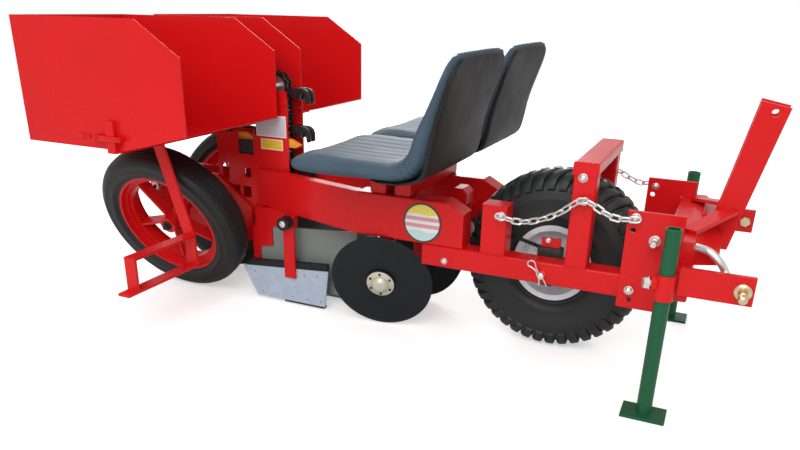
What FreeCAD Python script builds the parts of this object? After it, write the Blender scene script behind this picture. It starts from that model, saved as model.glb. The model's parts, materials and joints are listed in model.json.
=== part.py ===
"""Bare root transplanter: a two-seat machine for a tractor's three-point hitch.

Frame: +X forward to the tractor, +Y to the left, +Z up. Millimetres. The floor is z = 0,
and the origin lies on it, on the centreline, halfway along the machine.
Each function below makes one node, and side is -1 for right (-Y) or +1 for left (+Y).
"""
import FreeCAD, Part
import math
import os

V = FreeCAD.Vector
RIGHT, LEFT = -1, 1
SIDES = {"right": RIGHT, "left": LEFT}
UP = V(0, 0, 1)
SIDEWAYS = V(0, 1, 0)

# ---- front rails and the hoop over the gauge wheel ----------------------------------------------
rail_inner_y = 141.0          # half the gap between the two rails
rail_size = 64.0
rail_wall = 5.0
tube_corner = 6.0             # outer corner radius of the box tubes
rail_bottom_z = 252.0
rail_rear_x = 156.0
rail_front_x = 800.0
post_x = 369.0                # post on the rail that the lift chain starts from
post_length = 74.0
post_height = 142.0
hoop_x = 605.0                # middle of the hoop over the gauge wheel
hoop_leg_x = 60.0
hoop_leg_y = 58.0
hoop_top_x = 68.0
hoop_top_height = 34.0
hoop_rise = 62.0              # top of the hoop above the top of the gauge wheel

# ---- gauge wheel --------------------------------------------------------------------------------
gauge_x = 514.0
gauge_radius = 270.0          # to the lugs' tips
gauge_width = 170.0
gauge_rim_radius = 115.0
gauge_rim_width = 140.0
gauge_shoulder = 26.0         # chamfer between the tyre's wall and its tread
gauge_bulge = 58.0            # the tyre's widest place outside the bead
lug_height = 14.0
lug_width = 21.0
lug_root = 6.0                # depth of a lug in the tyre's body
lug_count = 24                # on each half of the tread
lug_angle = 20.0
lug_inner_y = 4.0
lug_bevel = 16.0
bead_depth = 11.0             # bead below the rim's edge
bead_inset = 10.0
rim_wall = 4.0
rim_lip = 12.0                # height of the rim's edge above its seat
rim_well = 10.0               # depth of the well below the seat
well_half = 12.0
well_slope = 8.0
gauge_disc_y = -10.0
gauge_disc_thick = 6.0
gauge_hub_radius = 38.0
gauge_hub_length = 176.0
gauge_axle_radius = 12.5
axle_play = 0.1
axle_plate_length = 54.0
axle_plate_ahead = 7.0        # middle of the plate ahead of the axle
axle_plate_thick = 12.0
axle_plate_below = 18.0       # plate's lower edge below the axle
axle_plate_above = 97.0

# ---- drive from the gauge wheel -----------------------------------------------------------------
drive_y = 110.0               # middle plane of the drive chain, on the right
drive_thick = 8.0
drive_sprocket_radius = 40.0
drive_gap = 6.5               # between the chain's band and the turning sprocket
drive_band = 8.0
drive_width = 14.0
jack_x = 262.0
jack_z = 357.0
jack_sprocket_radius = 22.0
jack_shaft_radius = 10.0
jack_inner_y = 97.0
chain_steps = 8               # chords in each round end of a chain
overcut = 1.0                 # how far a cutting shape passes the face that it cuts

# ---- main beams ---------------------------------------------------------------------------------
beam_width = 70.0
beam_height = 132.0
beam_wall = 6.0
beam_front_x = 280.0
beam_bend_x = -60.0           # the beams converge to the planter from here
beam_rear_x = -515.0
beam_rear_y = 60.0            # outer face at the rear end
beam_rear_thick = 36.0
beam_rear_drop = 8.0          # top of the rear end below the front
beam_chamfer_x = 56.0
beam_chamfer_z = 30.0
beam_cross_size = 50.0
beam_cross_x = 194.0
beam_cross_drop = 60.0        # top of the cross tube below the top of the beams
cross_lug_x = 206.0
cross_lug_length = 42.0
cross_lug_half = 30.0
cross_lug_rise = 62.0
cross_lug_corner = 14.0

# ---- planter column and planting chain ----------------------------------------------------------
column_outer_y = 50.0
column_plate = 6.0
column_front_x = -397.0
column_length = 125.0
column_top_z = 700.0
column_bottom_z = 262.0
rear_plate_rear_x = -686.0
rear_plate_step_x = -600.0
rear_plate_low_z = 300.0
rear_plate_high_z = 372.0
rear_plate_notch = ((-600.0, 484.0), (-535.0, 560.0))
rear_plate_windows = (((-671.0, 389.0), (-642.0, 449.0)), ((-588.0, 332.0), (-554.0, 372.0)),
                      ((-578.0, 404.0), (-552.0, 436.0)))
sprocket_radius = 34.0
sprocket_thick = 8.0
sprocket_shaft_radius = 10.0
sprocket_gap = 1.0
chain_top_z = 712.0           # upper sprocket's shaft
chain_bottom_z = 176.0        # lower sprocket's shaft
chain_band = 8.0
chain_half_width = 16.0
holder_count = 11
holder_phase = 0.22           # place of the first holder along the chain, in pitches
holder_reach = 84.0
holder_half_width = 22.0
holder_hook = 28.0            # length of the hook at the holder's tip
holder_finger = 13.0

# ---- planting shoe ------------------------------------------------------------------------------
wall_outer_y = 80.0
shoe_plate = 5.0
wall_front_x = -126.0
wall_step_x = -472.0
wall_rear_x = -515.0
wall_bottom_z = 41.0
wall_step_z = 185.0
wall_rear_top_z = 250.0
wall_front_top_z = 276.0
bracket_plate = 6.0
bracket_front_x = -350.0
bracket_steps = ((-350.0, 262.0), (-452.0, 252.0), (-452.0, 183.0), (-503.0, 175.0), (-503.0, 118.0),
                 (-533.0, 118.0), (-533.0, 232.0), (-518.0, 262.0))
spacer_length = 26.0
shoe_half_width = 130.0
skirt_front_x = -208.0
skirt_front_top_z = 141.0
skirt_rear_x = -550.0
skirt_rear_top_z = 113.0
skirt_bottom_z = 11.0
skirt_toe = 15.0              # the front edge leans back to the floor
skirt_heel = 57.0             # the rear edge leans forward to the floor
ledge_z = 86.0
ledge_thick = 6.0
keel_half_width = 20.0
keel_bottom_z = 5.0
keel_height = 35.0
keel_rear_x = -426.0
keel_nose = 80.0
tie_length = 30.0
skid_rear_x = -382.0
skid_front_x = -226.0
skid_width = 18.0
hanger_x = -352.0
hanger_width = 42.0
hanger_thick = 8.0
hanger_bottom_z = 98.0
hanger_tab_y = 96.0
knob_radius = 22.0
knob_length = 34.0
knob_z = 296.0

# ---- opener discs -------------------------------------------------------------------------------
disc_x = 12.0
disc_y = 180.0
disc_z = 163.0
disc_radius = 162.0
disc_thick = 5.0
disc_bevel = 12.0
disc_edge = 1.2
disc_toe = 11.4               # degrees, the faces turned forward
disc_lean = 14.6              # degrees, the faces tilted down
disc_hub_radius = 46.0
disc_hub_thick = 9.0
disc_cap_radius = 27.0
disc_cap_height = 20.0
disc_boss = 14.0              # the hub's boss on the inner side
disc_axle_radius = 12.0
disc_arm_length = 50.0
disc_arm_thick = 16.0
disc_arm_gap = 34.0           # between the disc's middle plane and its arm, at the axle
disc_arm_below = 30.0

# ---- packing wheels -----------------------------------------------------------------------------
packing_x = -782.5
packing_y = 187.0
packing_radius = 272.0
packing_width = 116.0
packing_tread_half = 30.0
packing_shoulder = 16.0
packing_facets = 36
packing_rim_radius = 199.0
packing_rim_width = 94.0
packing_rim_step = 12.0       # each ring of the rim lies this much inside the one before
bead_gap = 1.2                # between the tyre's bead and the rim
packing_lean = 21.5           # degrees, the tops apart
packing_toe = 1.0             # degrees, the faces turned forward
packing_hub_radius = 30.0
packing_hub_length = 92.0
packing_axle_radius = 15.0
spoke_count = 5
spoke_turn = 22.0
spoke_width = 44.0
spoke_thick = 8.0
arm_thick = 12.0
arm_root_x = -548.0
arm_top_z = 404.0
arm_rear_x = -967.0
arm_bar_rear_x = -900.0
arm_bar_bottom_z = 182.0
arm_bar_height = 52.0
bush_x = -962.0
bush_z = 332.0
bush_radius = 17.0
bush_bore_radius = 7.0
bush_margin = 14.0            # metal round the bush's hole, and the bush's length past the arm

# ---- trays and footrests ------------------------------------------------------------------------
tray_inner_y = 75.0
tray_outer_y = 519.0
tray_sheet = 3.0
tray_rear_x = -1023.0
tray_top_z = 918.0
tray_chamfer_x = -561.0
tray_front_x = -417.0
tray_chamfer_z = 825.0
tray_lip_z = 619.0
tray_floor_z = 561.0
tray_break_x = -645.0
tray_bar_x = -681.0
tray_bar_width = 50.0
tray_bar_thick = 8.0
tray_post_size = 30.0
tray_post_height = 84.0
foot_bar = 40.0
foot_thick = 8.0
foot_x = -588.0
foot_inner_y = 345.0
foot_outer_y = 608.0
foot_toe_y = 650.0
foot_top_z = 272.0
foot_bottom_z = 172.0

# ---- seats --------------------------------------------------------------------------------------
seat_width = 456.0
seat_inner_y = 10.0
seat_front_x = -150.0
seat_bottom_z = 540.0
seat_height = 328.0
pan_thick = 60.0              # cushion and shell together
shell_thick = 9.0
cushion_edge = 18.0           # bevel of the cushion's front roll
pan_corner = 40.0
back_corner = 70.0
back_bend_x = 214.0           # the shell turns up into the back here
back_low_x = 256.0
back_low_rise = 26.0
back_top_x = 330.0
lap_front_x = 190.0           # the cushion's face turns up here
lap_top_x = 306.0
seat_bar_size = 50.0
seat_bar_wall = 4.0
seat_bar_x = (-20.0, 60.0)
seat_bar_inset = 10.0
seat_pad_y = (60.0, 190.0)

# ---- headstock ----------------------------------------------------------------------------------
plate_gap = 5.0               # between rail and headstock plate
plate_thick = 10.0
plate_rear_x = 726.0
plate_top_front_x = 866.0
plate_bottom_front_x = 820.0
plate_bottom_z = 232.0
plate_top_z = 495.0
plate_toe = 8.0
plate_hole_radius = 7.0
plate_holes = ((743.0, 445.0), (757.0, 256.0))
pivot_x = 755.0
pivot_radius = 10.0
pivot_play = 0.5
pivot_end = 8.0
tube_rear_x = 826.0
tube_length = 74.0
tube_wall = 6.0
lower_tube_bottom_z = 313.0
lower_tube_height = 76.0
upper_box_height = 58.0
upper_box_half = 270.0
nose_length = 54.0
nose_drop = 22.0
nose_height = 50.0
nose_root = 8.0
hitch_half_span = 341.5       # shoulder to shoulder 683, category 1
arm_plate_thick = 14.0
arm_plate_rear_x = 875.0
arm_plate_front_x = 1042.0
arm_plate_bottom_z = 333.0
arm_plate_height = 70.0
hitch_pin_x = 1017.0
hitch_pin_radius = 11.0       # category 1
hitch_pin_length = 60.0
hitch_collar_radius = 20.0
hitch_collar_thick = 10.0
mast_gap_half = 26.0
mast_thick = 12.0
mast_foot_z = 374.0
mast_foot_length = 72.0
mast_heel = 23.0
mast_top_x = 1055.0
mast_top_z = 751.0
mast_width = 71.0
mast_lean = 11.0
mast_hole_radius = 9.75       # category 1 top link pin with play
mast_hole_inset_x = 34.0
mast_hole_inset_z = 14.0
mast_spacer_radius = 12.0
mast_spacer_rise = 60.0
brace_width = 44.0
brace_thick = 10.0
brace_foot = 26.0
brace_rise = 34.0
brace_reach = 64.0
brace_inset = 24.0

# ---- parking stands -----------------------------------------------------------------------------
stand_x = 847.0
stand_radius = 19.0
stand_wall = 4.0
stand_top_z = 498.0
sleeve_wall = 5.0
sleeve_play = 0.4
sleeve_bottom_z = 321.0
sleeve_height = 64.0
foot_plate_length = 110.0
foot_plate_width = 76.0
foot_plate_thick = 8.0

# ---- lift chains --------------------------------------------------------------------------------
link_length = 39.0
link_width = 24.0
link_wire = 6.0
lift_chain_gap = 15.0         # from the faces that the chain hangs beside
lift_points = ((391.0, 433.0), (446.0, 427.0), (500.0, 440.0), (551.0, 466.0), (609.0, 507.0),
               (667.0, 484.0), (701.0, 473.0), (745.0, 476.0))

# ---- worked out ---------------------------------------------------------------------------------
rail_top_z = rail_bottom_z + rail_size
rail_axis_z = rail_bottom_z + rail_size / 2
frame_half = rail_inner_y + rail_size
hoop_top_z = 2 * gauge_radius + hoop_rise
beam_top_z = rail_top_z + beam_height
beam_inner_y = frame_half - beam_width
beam_slope = (frame_half - beam_rear_y) / (beam_bend_x - beam_rear_x)
plate_inner_y = frame_half + plate_gap
plate_outer_y = plate_inner_y + plate_thick
tube_front_x = tube_rear_x + tube_length
lower_tube_top_z = lower_tube_bottom_z + lower_tube_height
upper_box_top_z = lower_tube_top_z + upper_box_height
tube_half = hitch_half_span - arm_plate_thick
sleeve_radius = stand_radius + sleeve_play + sleeve_wall
stand_y = tube_half + sleeve_radius
column_rear_x = column_front_x - column_length
chain_x = column_front_x - column_length / 2
wall_inner_y = wall_outer_y - shoe_plate
tray_bar_bottom_z = tray_floor_z - tray_bar_thick
seat_top_z = seat_bottom_z + seat_height
lean = math.radians(packing_lean)
packing_z = packing_radius * math.cos(lean) + packing_tread_half * math.sin(lean)


# ---- helpers ------------------------------------------------------------------------------------
def block(x0, x1, y0, y1, z0, z1):
    """Box between two corners given in any order."""
    low = V(min(x0, x1), min(y0, y1), min(z0, z1))
    high = V(max(x0, x1), max(y0, y1), max(z0, z1))
    return Part.makeBox(high.x - low.x, high.y - low.y, high.z - low.z, low)


def round_edges(shape, radius, along):
    """Fillets a block's four edges that run along a direction."""
    edges = [edge for edge in shape.Edges if abs(edge.tangentAt(edge.FirstParameter).dot(along)) > 0.999]
    return shape.makeFillet(radius, edges)


def box_tube(x0, x1, y0, y1, z0, z1, wall, along):
    """Box section tube closed at its ends, its long edges rounded."""
    outer = block(x0, x1, y0, y1, z0, z1)
    box = outer.BoundBox
    inner = block(box.XMin + wall, box.XMax - wall, box.YMin + wall, box.YMax - wall,
                  box.ZMin + wall, box.ZMax - wall)
    return round_edges(outer, tube_corner, along).cut(inner)


def side_profile(points, y0, y1):
    """Outline in the XZ plane, extruded from y0 to y1."""
    corners = [V(x, min(y0, y1), z) for x, z in points]
    face = Part.Face(Part.makePolygon(corners + corners[:1]))
    return face.extrude(V(0, abs(y1 - y0), 0))


def plan_profile(points, z0, z1):
    """Outline in the XY plane, extruded from z0 to z1."""
    corners = [V(x, y, z0) for x, y in points]
    face = Part.Face(Part.makePolygon(corners + corners[:1]))
    return face.extrude(V(0, 0, z1 - z0))


def rod(start, end, radius):
    """Round bar between two points."""
    return Part.makeCylinder(radius, (end - start).Length, start, end - start)


def flat_bar(start, end, width, thick, flat_normal):
    """Flat bar between two points, its broad face square to flat_normal."""
    along = (end - start).normalize()
    across = flat_normal.cross(along).normalize()
    normal = along.cross(across).normalize()
    corner = start - across * (width / 2) - normal * (thick / 2)
    wire = Part.makePolygon([corner, corner + across * width,
                             corner + across * width + normal * thick,
                             corner + normal * thick, corner])
    return Part.Face(wire).extrude(end - start)


def fuse(shapes):
    """One shape from a list of shapes."""
    shape = shapes[0]
    if len(shapes) > 1:
        shape = shape.multiFuse(shapes[1:])
    return shape.removeSplitter()


def both_sides(make):
    """Compound of what make(side) gives for the right and the left."""
    return Part.makeCompound([make(side) for side in SIDES.values()])


def revolve(profile):
    """Solid of revolution about the Y axis, from (radius, y) points."""
    corners = [V(radius, y, 0) for radius, y in profile]
    face = Part.Face(Part.makePolygon(corners + corners[:1]))
    return face.revolve(V(0, 0, 0), SIDEWAYS, 360)


def flip(section):
    """The same (radius, y) points with the Y axis turned over."""
    return [(radius, -y) for radius, y in section]


def facet_ring(profile, count, turn):
    """Ring about the Y axis with flat facets, from (radius, y) points round its section."""
    def corner(point, index):
        angle = 2 * math.pi * (index + turn) / count
        return V(point[0] * math.cos(angle), point[1], point[0] * math.sin(angle))

    faces = []
    for index in range(count):
        for first, second in zip(profile, profile[1:] + profile[:1]):
            quad = [corner(first, index), corner(second, index),
                    corner(second, index + 1), corner(first, index + 1)]
            faces.append(Part.Face(Part.makePolygon(quad + quad[:1])))
    ring = Part.Solid(Part.Shell(faces))
    if ring.Volume < 0:
        ring.reverse()
    return ring


def loop_outline(start, start_radius, end, end_radius):
    """Outline in XZ of a chain round two sprockets, its round ends drawn with chords."""
    heading = math.atan2(end.z - start.z, end.x - start.x)
    spread = math.acos((start_radius - end_radius) / (end - start).Length)
    ends = ((start, start_radius, heading + spread, 2 * (math.pi - spread)),
            (end, end_radius, heading - spread, 2 * spread))
    points = []
    for centre, radius, first, sweep in ends:
        for step in range(chain_steps + 1):
            angle = first + sweep * step / chain_steps
            points.append((centre.x + radius * math.cos(angle), centre.z + radius * math.sin(angle)))
    return points


def aim_wheel(shape, side, lean_degrees, toe_degrees, centre):
    """Leans and toes a shape made about the Y axis with its outer face to -Y, and moves it."""
    shape = shape.copy()
    shape.rotate(V(0, 0, 0), V(1, 0, 0), lean_degrees)
    shape.rotate(V(0, 0, 0), UP, toe_degrees)
    if side == LEFT:
        shape = shape.mirror(V(0, 0, 0), SIDEWAYS)
    shape.translate(centre)
    return shape


# ---- front rails and hoop -----------------------------------------------------------------------
def rail(side):
    tube = box_tube(rail_rear_x, rail_front_x, side * rail_inner_y, side * frame_half,
                    rail_bottom_z, rail_top_z, rail_wall, V(1, 0, 0))
    bore = rod(V(pivot_x, side * (rail_inner_y - overcut), rail_axis_z),
               V(pivot_x, side * (frame_half + overcut), rail_axis_z), pivot_radius + pivot_play)
    return tube.cut(bore)


def chain_post(side):
    return box_tube(post_x - post_length / 2, post_x + post_length / 2,
                    side * rail_inner_y, side * frame_half,
                    rail_top_z, rail_top_z + post_height, rail_wall, UP)


def hoop_leg(side):
    return box_tube(hoop_x - hoop_leg_x / 2, hoop_x + hoop_leg_x / 2,
                    side * frame_half, side * (frame_half - hoop_leg_y),
                    rail_top_z, hoop_top_z - hoop_top_height, rail_wall, UP)


def hoop_top():
    return box_tube(hoop_x - hoop_top_x / 2, hoop_x + hoop_top_x / 2, -frame_half, frame_half,
                    hoop_top_z - hoop_top_height, hoop_top_z, rail_wall, SIDEWAYS)


# ---- gauge wheel --------------------------------------------------------------------------------
def axle_plate(side):
    centre = gauge_x + axle_plate_ahead
    plate = block(centre - axle_plate_length / 2, centre + axle_plate_length / 2,
                  side * rail_inner_y, side * (rail_inner_y - axle_plate_thick),
                  gauge_radius - axle_plate_below, gauge_radius + axle_plate_above)
    return plate.cut(gauge_axle())


def gauge_axle():
    return rod(V(gauge_x, -rail_inner_y, gauge_radius), V(gauge_x, rail_inner_y, gauge_radius),
               gauge_axle_radius)


def half_tread(side):
    """One half of the gauge tyre's body, a facet for each lug."""
    base = gauge_radius - lug_height
    half = gauge_width / 2
    rim_half = gauge_rim_width / 2
    bead = gauge_rim_radius - bead_depth
    section = [(bead, 0), (base, 0), (base, half - gauge_shoulder), (base - gauge_shoulder, half),
               (bead + gauge_bulge, half), (bead, rim_half - bead_inset)]
    return facet_ring([(radius, side * y) for radius, y in section], lug_count, lug_phase(side) + 0.5)


def lug_phase(side):
    """The left half's lugs stand between the right half's."""
    return 0.5 if side == LEFT else 0.0


def half_lugs(side):
    """The slanted bars on one half of the tread."""
    base = gauge_radius - lug_height
    half = gauge_width / 2
    slant = math.tan(math.radians(lug_angle))
    middle = (half + lug_inner_y) / 2
    reach = slant * (half - middle) + lug_width / 2
    top = math.sqrt(gauge_radius ** 2 - reach ** 2)
    section = [(base - lug_root, lug_inner_y), (top, lug_inner_y), (top, half - lug_bevel),
               (top - lug_bevel, half), (base - gauge_shoulder - lug_bevel, half)]
    corners = [V(radius, side * y, slant * (middle - y) - lug_width / 2) for radius, y in section]
    bar = Part.Face(Part.makePolygon(corners + corners[:1])).extrude(V(0, 0, lug_width))
    lugs = []
    for index in range(lug_count):
        lug = bar.copy()
        lug.rotate(V(0, 0, 0), SIDEWAYS, 360.0 * (index + lug_phase(side)) / lug_count)
        lugs.append(lug)
    return lugs


def gauge_tyre():
    shapes = []
    for side in SIDES.values():
        shapes += [half_tread(side)] + half_lugs(side)
    tyre = shapes[0].multiFuse(shapes[1:])
    tyre.translate(V(gauge_x, 0, gauge_radius))
    return tyre


def gauge_rim():
    half = gauge_rim_width / 2
    seat = gauge_rim_radius - rim_lip
    well = seat - rim_well
    outer = [(gauge_rim_radius, -half), (gauge_rim_radius, -half + rim_wall), (seat, -half + rim_wall),
             (seat, -well_half - well_slope), (well, -well_half), (well, well_half),
             (seat, well_half + well_slope), (seat, half - rim_wall),
             (gauge_rim_radius, half - rim_wall), (gauge_rim_radius, half)]
    inner = [(seat - rim_wall, half), (well - rim_wall, well_half), (well - rim_wall, -well_half),
             (seat - rim_wall, -half)]
    ring = revolve(outer + inner)
    bore = gauge_axle_radius + axle_play
    disc = revolve([(bore, gauge_disc_y), (well, gauge_disc_y),
                    (well, gauge_disc_y + gauge_disc_thick), (bore, gauge_disc_y + gauge_disc_thick)])
    sprocket_y = -drive_y - drive_thick / 2
    hub_half = gauge_hub_length / 2
    hub = revolve([(bore, sprocket_y), (drive_sprocket_radius, sprocket_y),
                   (drive_sprocket_radius, sprocket_y + drive_thick),
                   (gauge_hub_radius - rim_wall, sprocket_y + drive_thick),
                   (gauge_hub_radius - rim_wall, -hub_half), (gauge_hub_radius, -hub_half),
                   (gauge_hub_radius, hub_half), (bore, hub_half)])
    rim = fuse([ring, disc, hub])
    rim.translate(V(gauge_x, 0, gauge_radius))
    return rim


# ---- drive --------------------------------------------------------------------------------------
def drive_chain():
    """The roller chain from the gauge wheel to the jackshaft, as one closed band."""
    rear = V(jack_x, 0, jack_z)
    front = V(gauge_x, 0, gauge_radius)
    rear_radius = jack_sprocket_radius + sprocket_gap
    front_radius = drive_sprocket_radius + drive_gap
    y0, y1 = -drive_y - drive_width / 2, -drive_y + drive_width / 2
    outer = loop_outline(rear, rear_radius + drive_band, front, front_radius + drive_band)
    inner = loop_outline(rear, rear_radius, front, front_radius)
    return side_profile(outer, y0, y1).cut(side_profile(inner, y0, y1))


def jackshaft():
    """Stub shaft from the right beam with the chain's upper sprocket."""
    shaft = rod(V(jack_x, -beam_inner_y, jack_z), V(jack_x, -jack_inner_y, jack_z), jack_shaft_radius)
    sprocket = rod(V(jack_x, -drive_y - drive_thick / 2, jack_z),
                   V(jack_x, -drive_y + drive_thick / 2, jack_z), jack_sprocket_radius)
    return fuse([shaft, sprocket])


# ---- main frame ---------------------------------------------------------------------------------
def beam_edge(x):
    """Half width over the beams' outer faces at x, behind the bend."""
    return frame_half - beam_slope * (beam_bend_x - x)


def beam_front(side):
    """Box front of a main beam, its end cut off at a slope above."""
    tube = box_tube(beam_bend_x, beam_front_x, side * beam_inner_y, side * frame_half,
                    rail_top_z, beam_top_z, beam_wall, V(1, 0, 0))
    slope = side_profile([(beam_front_x, beam_top_z - beam_chamfer_z), (beam_front_x, beam_top_z + overcut),
                          (beam_front_x - beam_chamfer_x, beam_top_z + overcut),
                          (beam_front_x - beam_chamfer_x, beam_top_z)],
                         side * beam_inner_y, side * frame_half)
    cover = side_profile([(beam_front_x - beam_wall, beam_top_z - beam_chamfer_z - beam_wall),
                          (beam_front_x - beam_wall, beam_top_z - beam_wall),
                          (beam_front_x - beam_wall - beam_chamfer_x, beam_top_z - beam_wall)],
                         side * (beam_inner_y + beam_wall / 2), side * (frame_half - beam_wall / 2))
    return tube.fuse(cover).cut(slope)


def beam_rear(side):
    """Hollow rear of a main beam, converging to the planter's column."""
    touch_x = beam_bend_x - (frame_half - beam_rear_thick - column_outer_y) / beam_slope
    bend = frame_half
    outer = plan_profile([(beam_bend_x, side * bend), (beam_rear_x, side * beam_rear_y),
                          (beam_rear_x, side * column_outer_y), (touch_x, side * column_outer_y),
                          (beam_bend_x, side * (bend - beam_rear_thick))], rail_top_z, beam_top_z)
    front_x = beam_bend_x - beam_wall
    hollow = plan_profile([(front_x, side * (beam_edge(front_x) - beam_wall)),
                           (touch_x, side * (beam_edge(touch_x) - beam_wall)),
                           (touch_x, side * (beam_edge(touch_x) - beam_rear_thick + beam_wall)),
                           (front_x, side * (beam_edge(front_x) - beam_rear_thick + beam_wall))],
                          rail_top_z + beam_wall, beam_top_z - beam_rear_drop - beam_wall)
    fall = side_profile([(beam_bend_x, beam_top_z), (beam_rear_x, beam_top_z - beam_rear_drop),
                         (beam_rear_x, beam_top_z + overcut), (beam_bend_x, beam_top_z + overcut)],
                        0, side * (bend + overcut))
    return outer.cut(hollow).cut(fall)


def beam(side):
    return fuse([beam_front(side), beam_rear(side)])


def beam_cross():
    top = beam_top_z - beam_cross_drop
    tube = box_tube(beam_cross_x - beam_cross_size / 2, beam_cross_x + beam_cross_size / 2,
                    -beam_inner_y, beam_inner_y, top - beam_cross_size, top, beam_wall, SIDEWAYS)
    half = cross_lug_length / 2
    lug = side_profile([(cross_lug_x - half, top - tube_corner), (cross_lug_x + half / 2, top - tube_corner),
                        (cross_lug_x + half, top + cross_lug_corner),
                        (cross_lug_x + half, top + cross_lug_rise - cross_lug_corner),
                        (cross_lug_x + half - cross_lug_corner, top + cross_lug_rise),
                        (cross_lug_x - half, top + cross_lug_rise)], -cross_lug_half, cross_lug_half)
    return fuse([tube, lug])


# ---- planter ------------------------------------------------------------------------------------
def planter_side(side):
    """Side plate of the planter's column with the rear plate that carries the packing wheel."""
    outline = [(column_front_x, column_bottom_z), (column_front_x, column_top_z),
               (column_rear_x, column_top_z), (column_rear_x, tray_bar_bottom_z),
               (rear_plate_rear_x, tray_bar_bottom_z), (rear_plate_rear_x, rear_plate_high_z),
               (rear_plate_step_x, rear_plate_high_z), (rear_plate_step_x, rear_plate_low_z),
               (column_rear_x, column_bottom_z)]
    outer, inner = side * column_outer_y, side * (column_outer_y - column_plate)
    plate = side_profile(outline, outer, inner)
    for (x0, z0), (x1, z1) in rear_plate_windows + (rear_plate_notch,):
        plate = plate.cut(block(x0, x1, outer, inner, z0, z1))
    return plate


def planting_chain():
    """The endless chain as one closed band, with its plant holders."""
    radius = sprocket_radius + sprocket_gap
    outer_radius = radius + chain_band
    low, top = V(chain_x, 0, chain_bottom_z), V(chain_x, 0, chain_top_z)
    outer = loop_outline(low, outer_radius, top, outer_radius)
    inner = loop_outline(low, radius, top, radius)
    band = side_profile(outer, -chain_half_width, chain_half_width)
    band = band.cut(side_profile(inner, -chain_half_width, chain_half_width))
    straight = chain_top_z - chain_bottom_z
    total = 2 * straight + 2 * math.pi * outer_radius
    shapes = [band]
    for index in range(holder_count):
        travel = total * (index + holder_phase) / holder_count
        place, turn = chain_station(travel, straight, outer_radius)
        holder = plant_holder()
        holder.rotate(V(0, 0, 0), V(0, -1, 0), math.degrees(turn))
        holder.translate(low + place)
        shapes.append(holder)
    return fuse(shapes)


def chain_station(travel, straight, radius):
    """Place and turn of a holder that has travelled up the front, over the top and down."""
    bend = math.pi * radius
    if travel < straight:
        return V(radius, 0, travel), 0.0
    if travel < straight + bend:
        turn = (travel - straight) / radius
        return V(radius * math.cos(turn), 0, straight + radius * math.sin(turn)), turn
    if travel < 2 * straight + bend:
        return V(-radius, 0, 2 * straight + bend - travel), math.pi
    turn = math.pi + (travel - 2 * straight - bend) / radius
    return V(radius * math.cos(turn), 0, radius * math.sin(turn)), turn


def plant_holder():
    """Hooked finger that points away from the chain and bends down at its tip."""
    root = -chain_band / 2
    finger = holder_finger
    hook = [(root, -finger), (root, finger), (holder_reach * 0.45, finger * 1.6),
            (holder_reach * 0.85, finger * 1.2), (holder_reach, -finger / 6), (holder_reach, -holder_hook),
            (holder_reach - finger, -holder_hook), (holder_reach - finger * 1.4, 0),
            (holder_reach * 0.4, finger / 3), (finger, -finger)]
    return side_profile(hook, -holder_half_width, holder_half_width)


def planting_sprockets():
    parts = []
    for z, half in ((chain_bottom_z, wall_inner_y), (chain_top_z, column_outer_y - column_plate)):
        centre = V(chain_x, 0, z)
        wheel = rod(centre - SIDEWAYS * (sprocket_thick / 2), centre + SIDEWAYS * (sprocket_thick / 2),
                    sprocket_radius)
        shaft = rod(centre - SIDEWAYS * half, centre + SIDEWAYS * half, sprocket_shaft_radius)
        parts.append(fuse([wheel, shaft]))
    return Part.makeCompound(parts)


# ---- planting shoe ------------------------------------------------------------------------------
def shoe_bracket(side):
    """Stepped plate below the beam, tied to the column by its spacer."""
    outline = [(bracket_front_x, rail_top_z)] + list(bracket_steps) + [(bracket_steps[-1][0], rail_top_z)]
    plate = side_profile(outline, side * wall_outer_y, side * (wall_outer_y + bracket_plate))
    rear_x = column_rear_x + spacer_length
    spacer = block(column_rear_x, rear_x, side * column_outer_y, side * (wall_outer_y + bracket_plate / 2),
                   column_bottom_z, rail_top_z)
    return fuse([plate, spacer])


def shoe_skirt(side):
    outline = [(skirt_rear_x + skirt_heel, skirt_bottom_z), (skirt_front_x - skirt_toe, skirt_bottom_z),
               (skirt_front_x, skirt_front_top_z), (skirt_rear_x, skirt_rear_top_z)]
    return side_profile(outline, side * shoe_half_width, side * (shoe_half_width - shoe_plate))


def shoe_wall(side):
    """Upright wall of the planting shoe with the ledge that carries the skirt."""
    outline = [(wall_rear_x, wall_bottom_z), (wall_rear_x, wall_step_z), (wall_step_x, wall_step_z),
               (wall_step_x, wall_rear_top_z), (wall_front_x, wall_front_top_z),
               (wall_front_x, wall_bottom_z)]
    wall = side_profile(outline, side * wall_outer_y, side * wall_inner_y)
    ledge = block(wall_rear_x, skirt_front_x - skirt_toe, side * wall_inner_y,
                  side * (shoe_half_width - shoe_plate), ledge_z, ledge_z + ledge_thick)
    return fuse([wall, ledge])


def shoe_keel():
    """Wedge that opens the furrow, tied to the walls by its cross plate."""
    keel_top = keel_bottom_z + keel_height
    nose_x = wall_front_x - tie_length
    tie_z = wall_rear_top_z - tie_length
    wedge = side_profile([(keel_rear_x, keel_bottom_z), (wall_front_x - keel_nose, keel_bottom_z),
                          (wall_front_x, skirt_rear_top_z), (wall_front_x, tie_z), (nose_x, tie_z),
                          (nose_x - keel_half_width, skirt_rear_top_z), (nose_x - keel_nose, keel_top),
                          (keel_rear_x, keel_top)],
                         -keel_half_width, keel_half_width)
    tie = block(nose_x, wall_front_x, -wall_inner_y, wall_inner_y, tie_z - tie_length, tie_z)
    return fuse([wedge, tie])


def shoe_skid(side):
    """Wear bar under the skirt's lower edge."""
    return block(skid_rear_x, skid_front_x, side * shoe_half_width, side * (shoe_half_width - skid_width),
                 keel_bottom_z, skirt_bottom_z)


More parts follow.
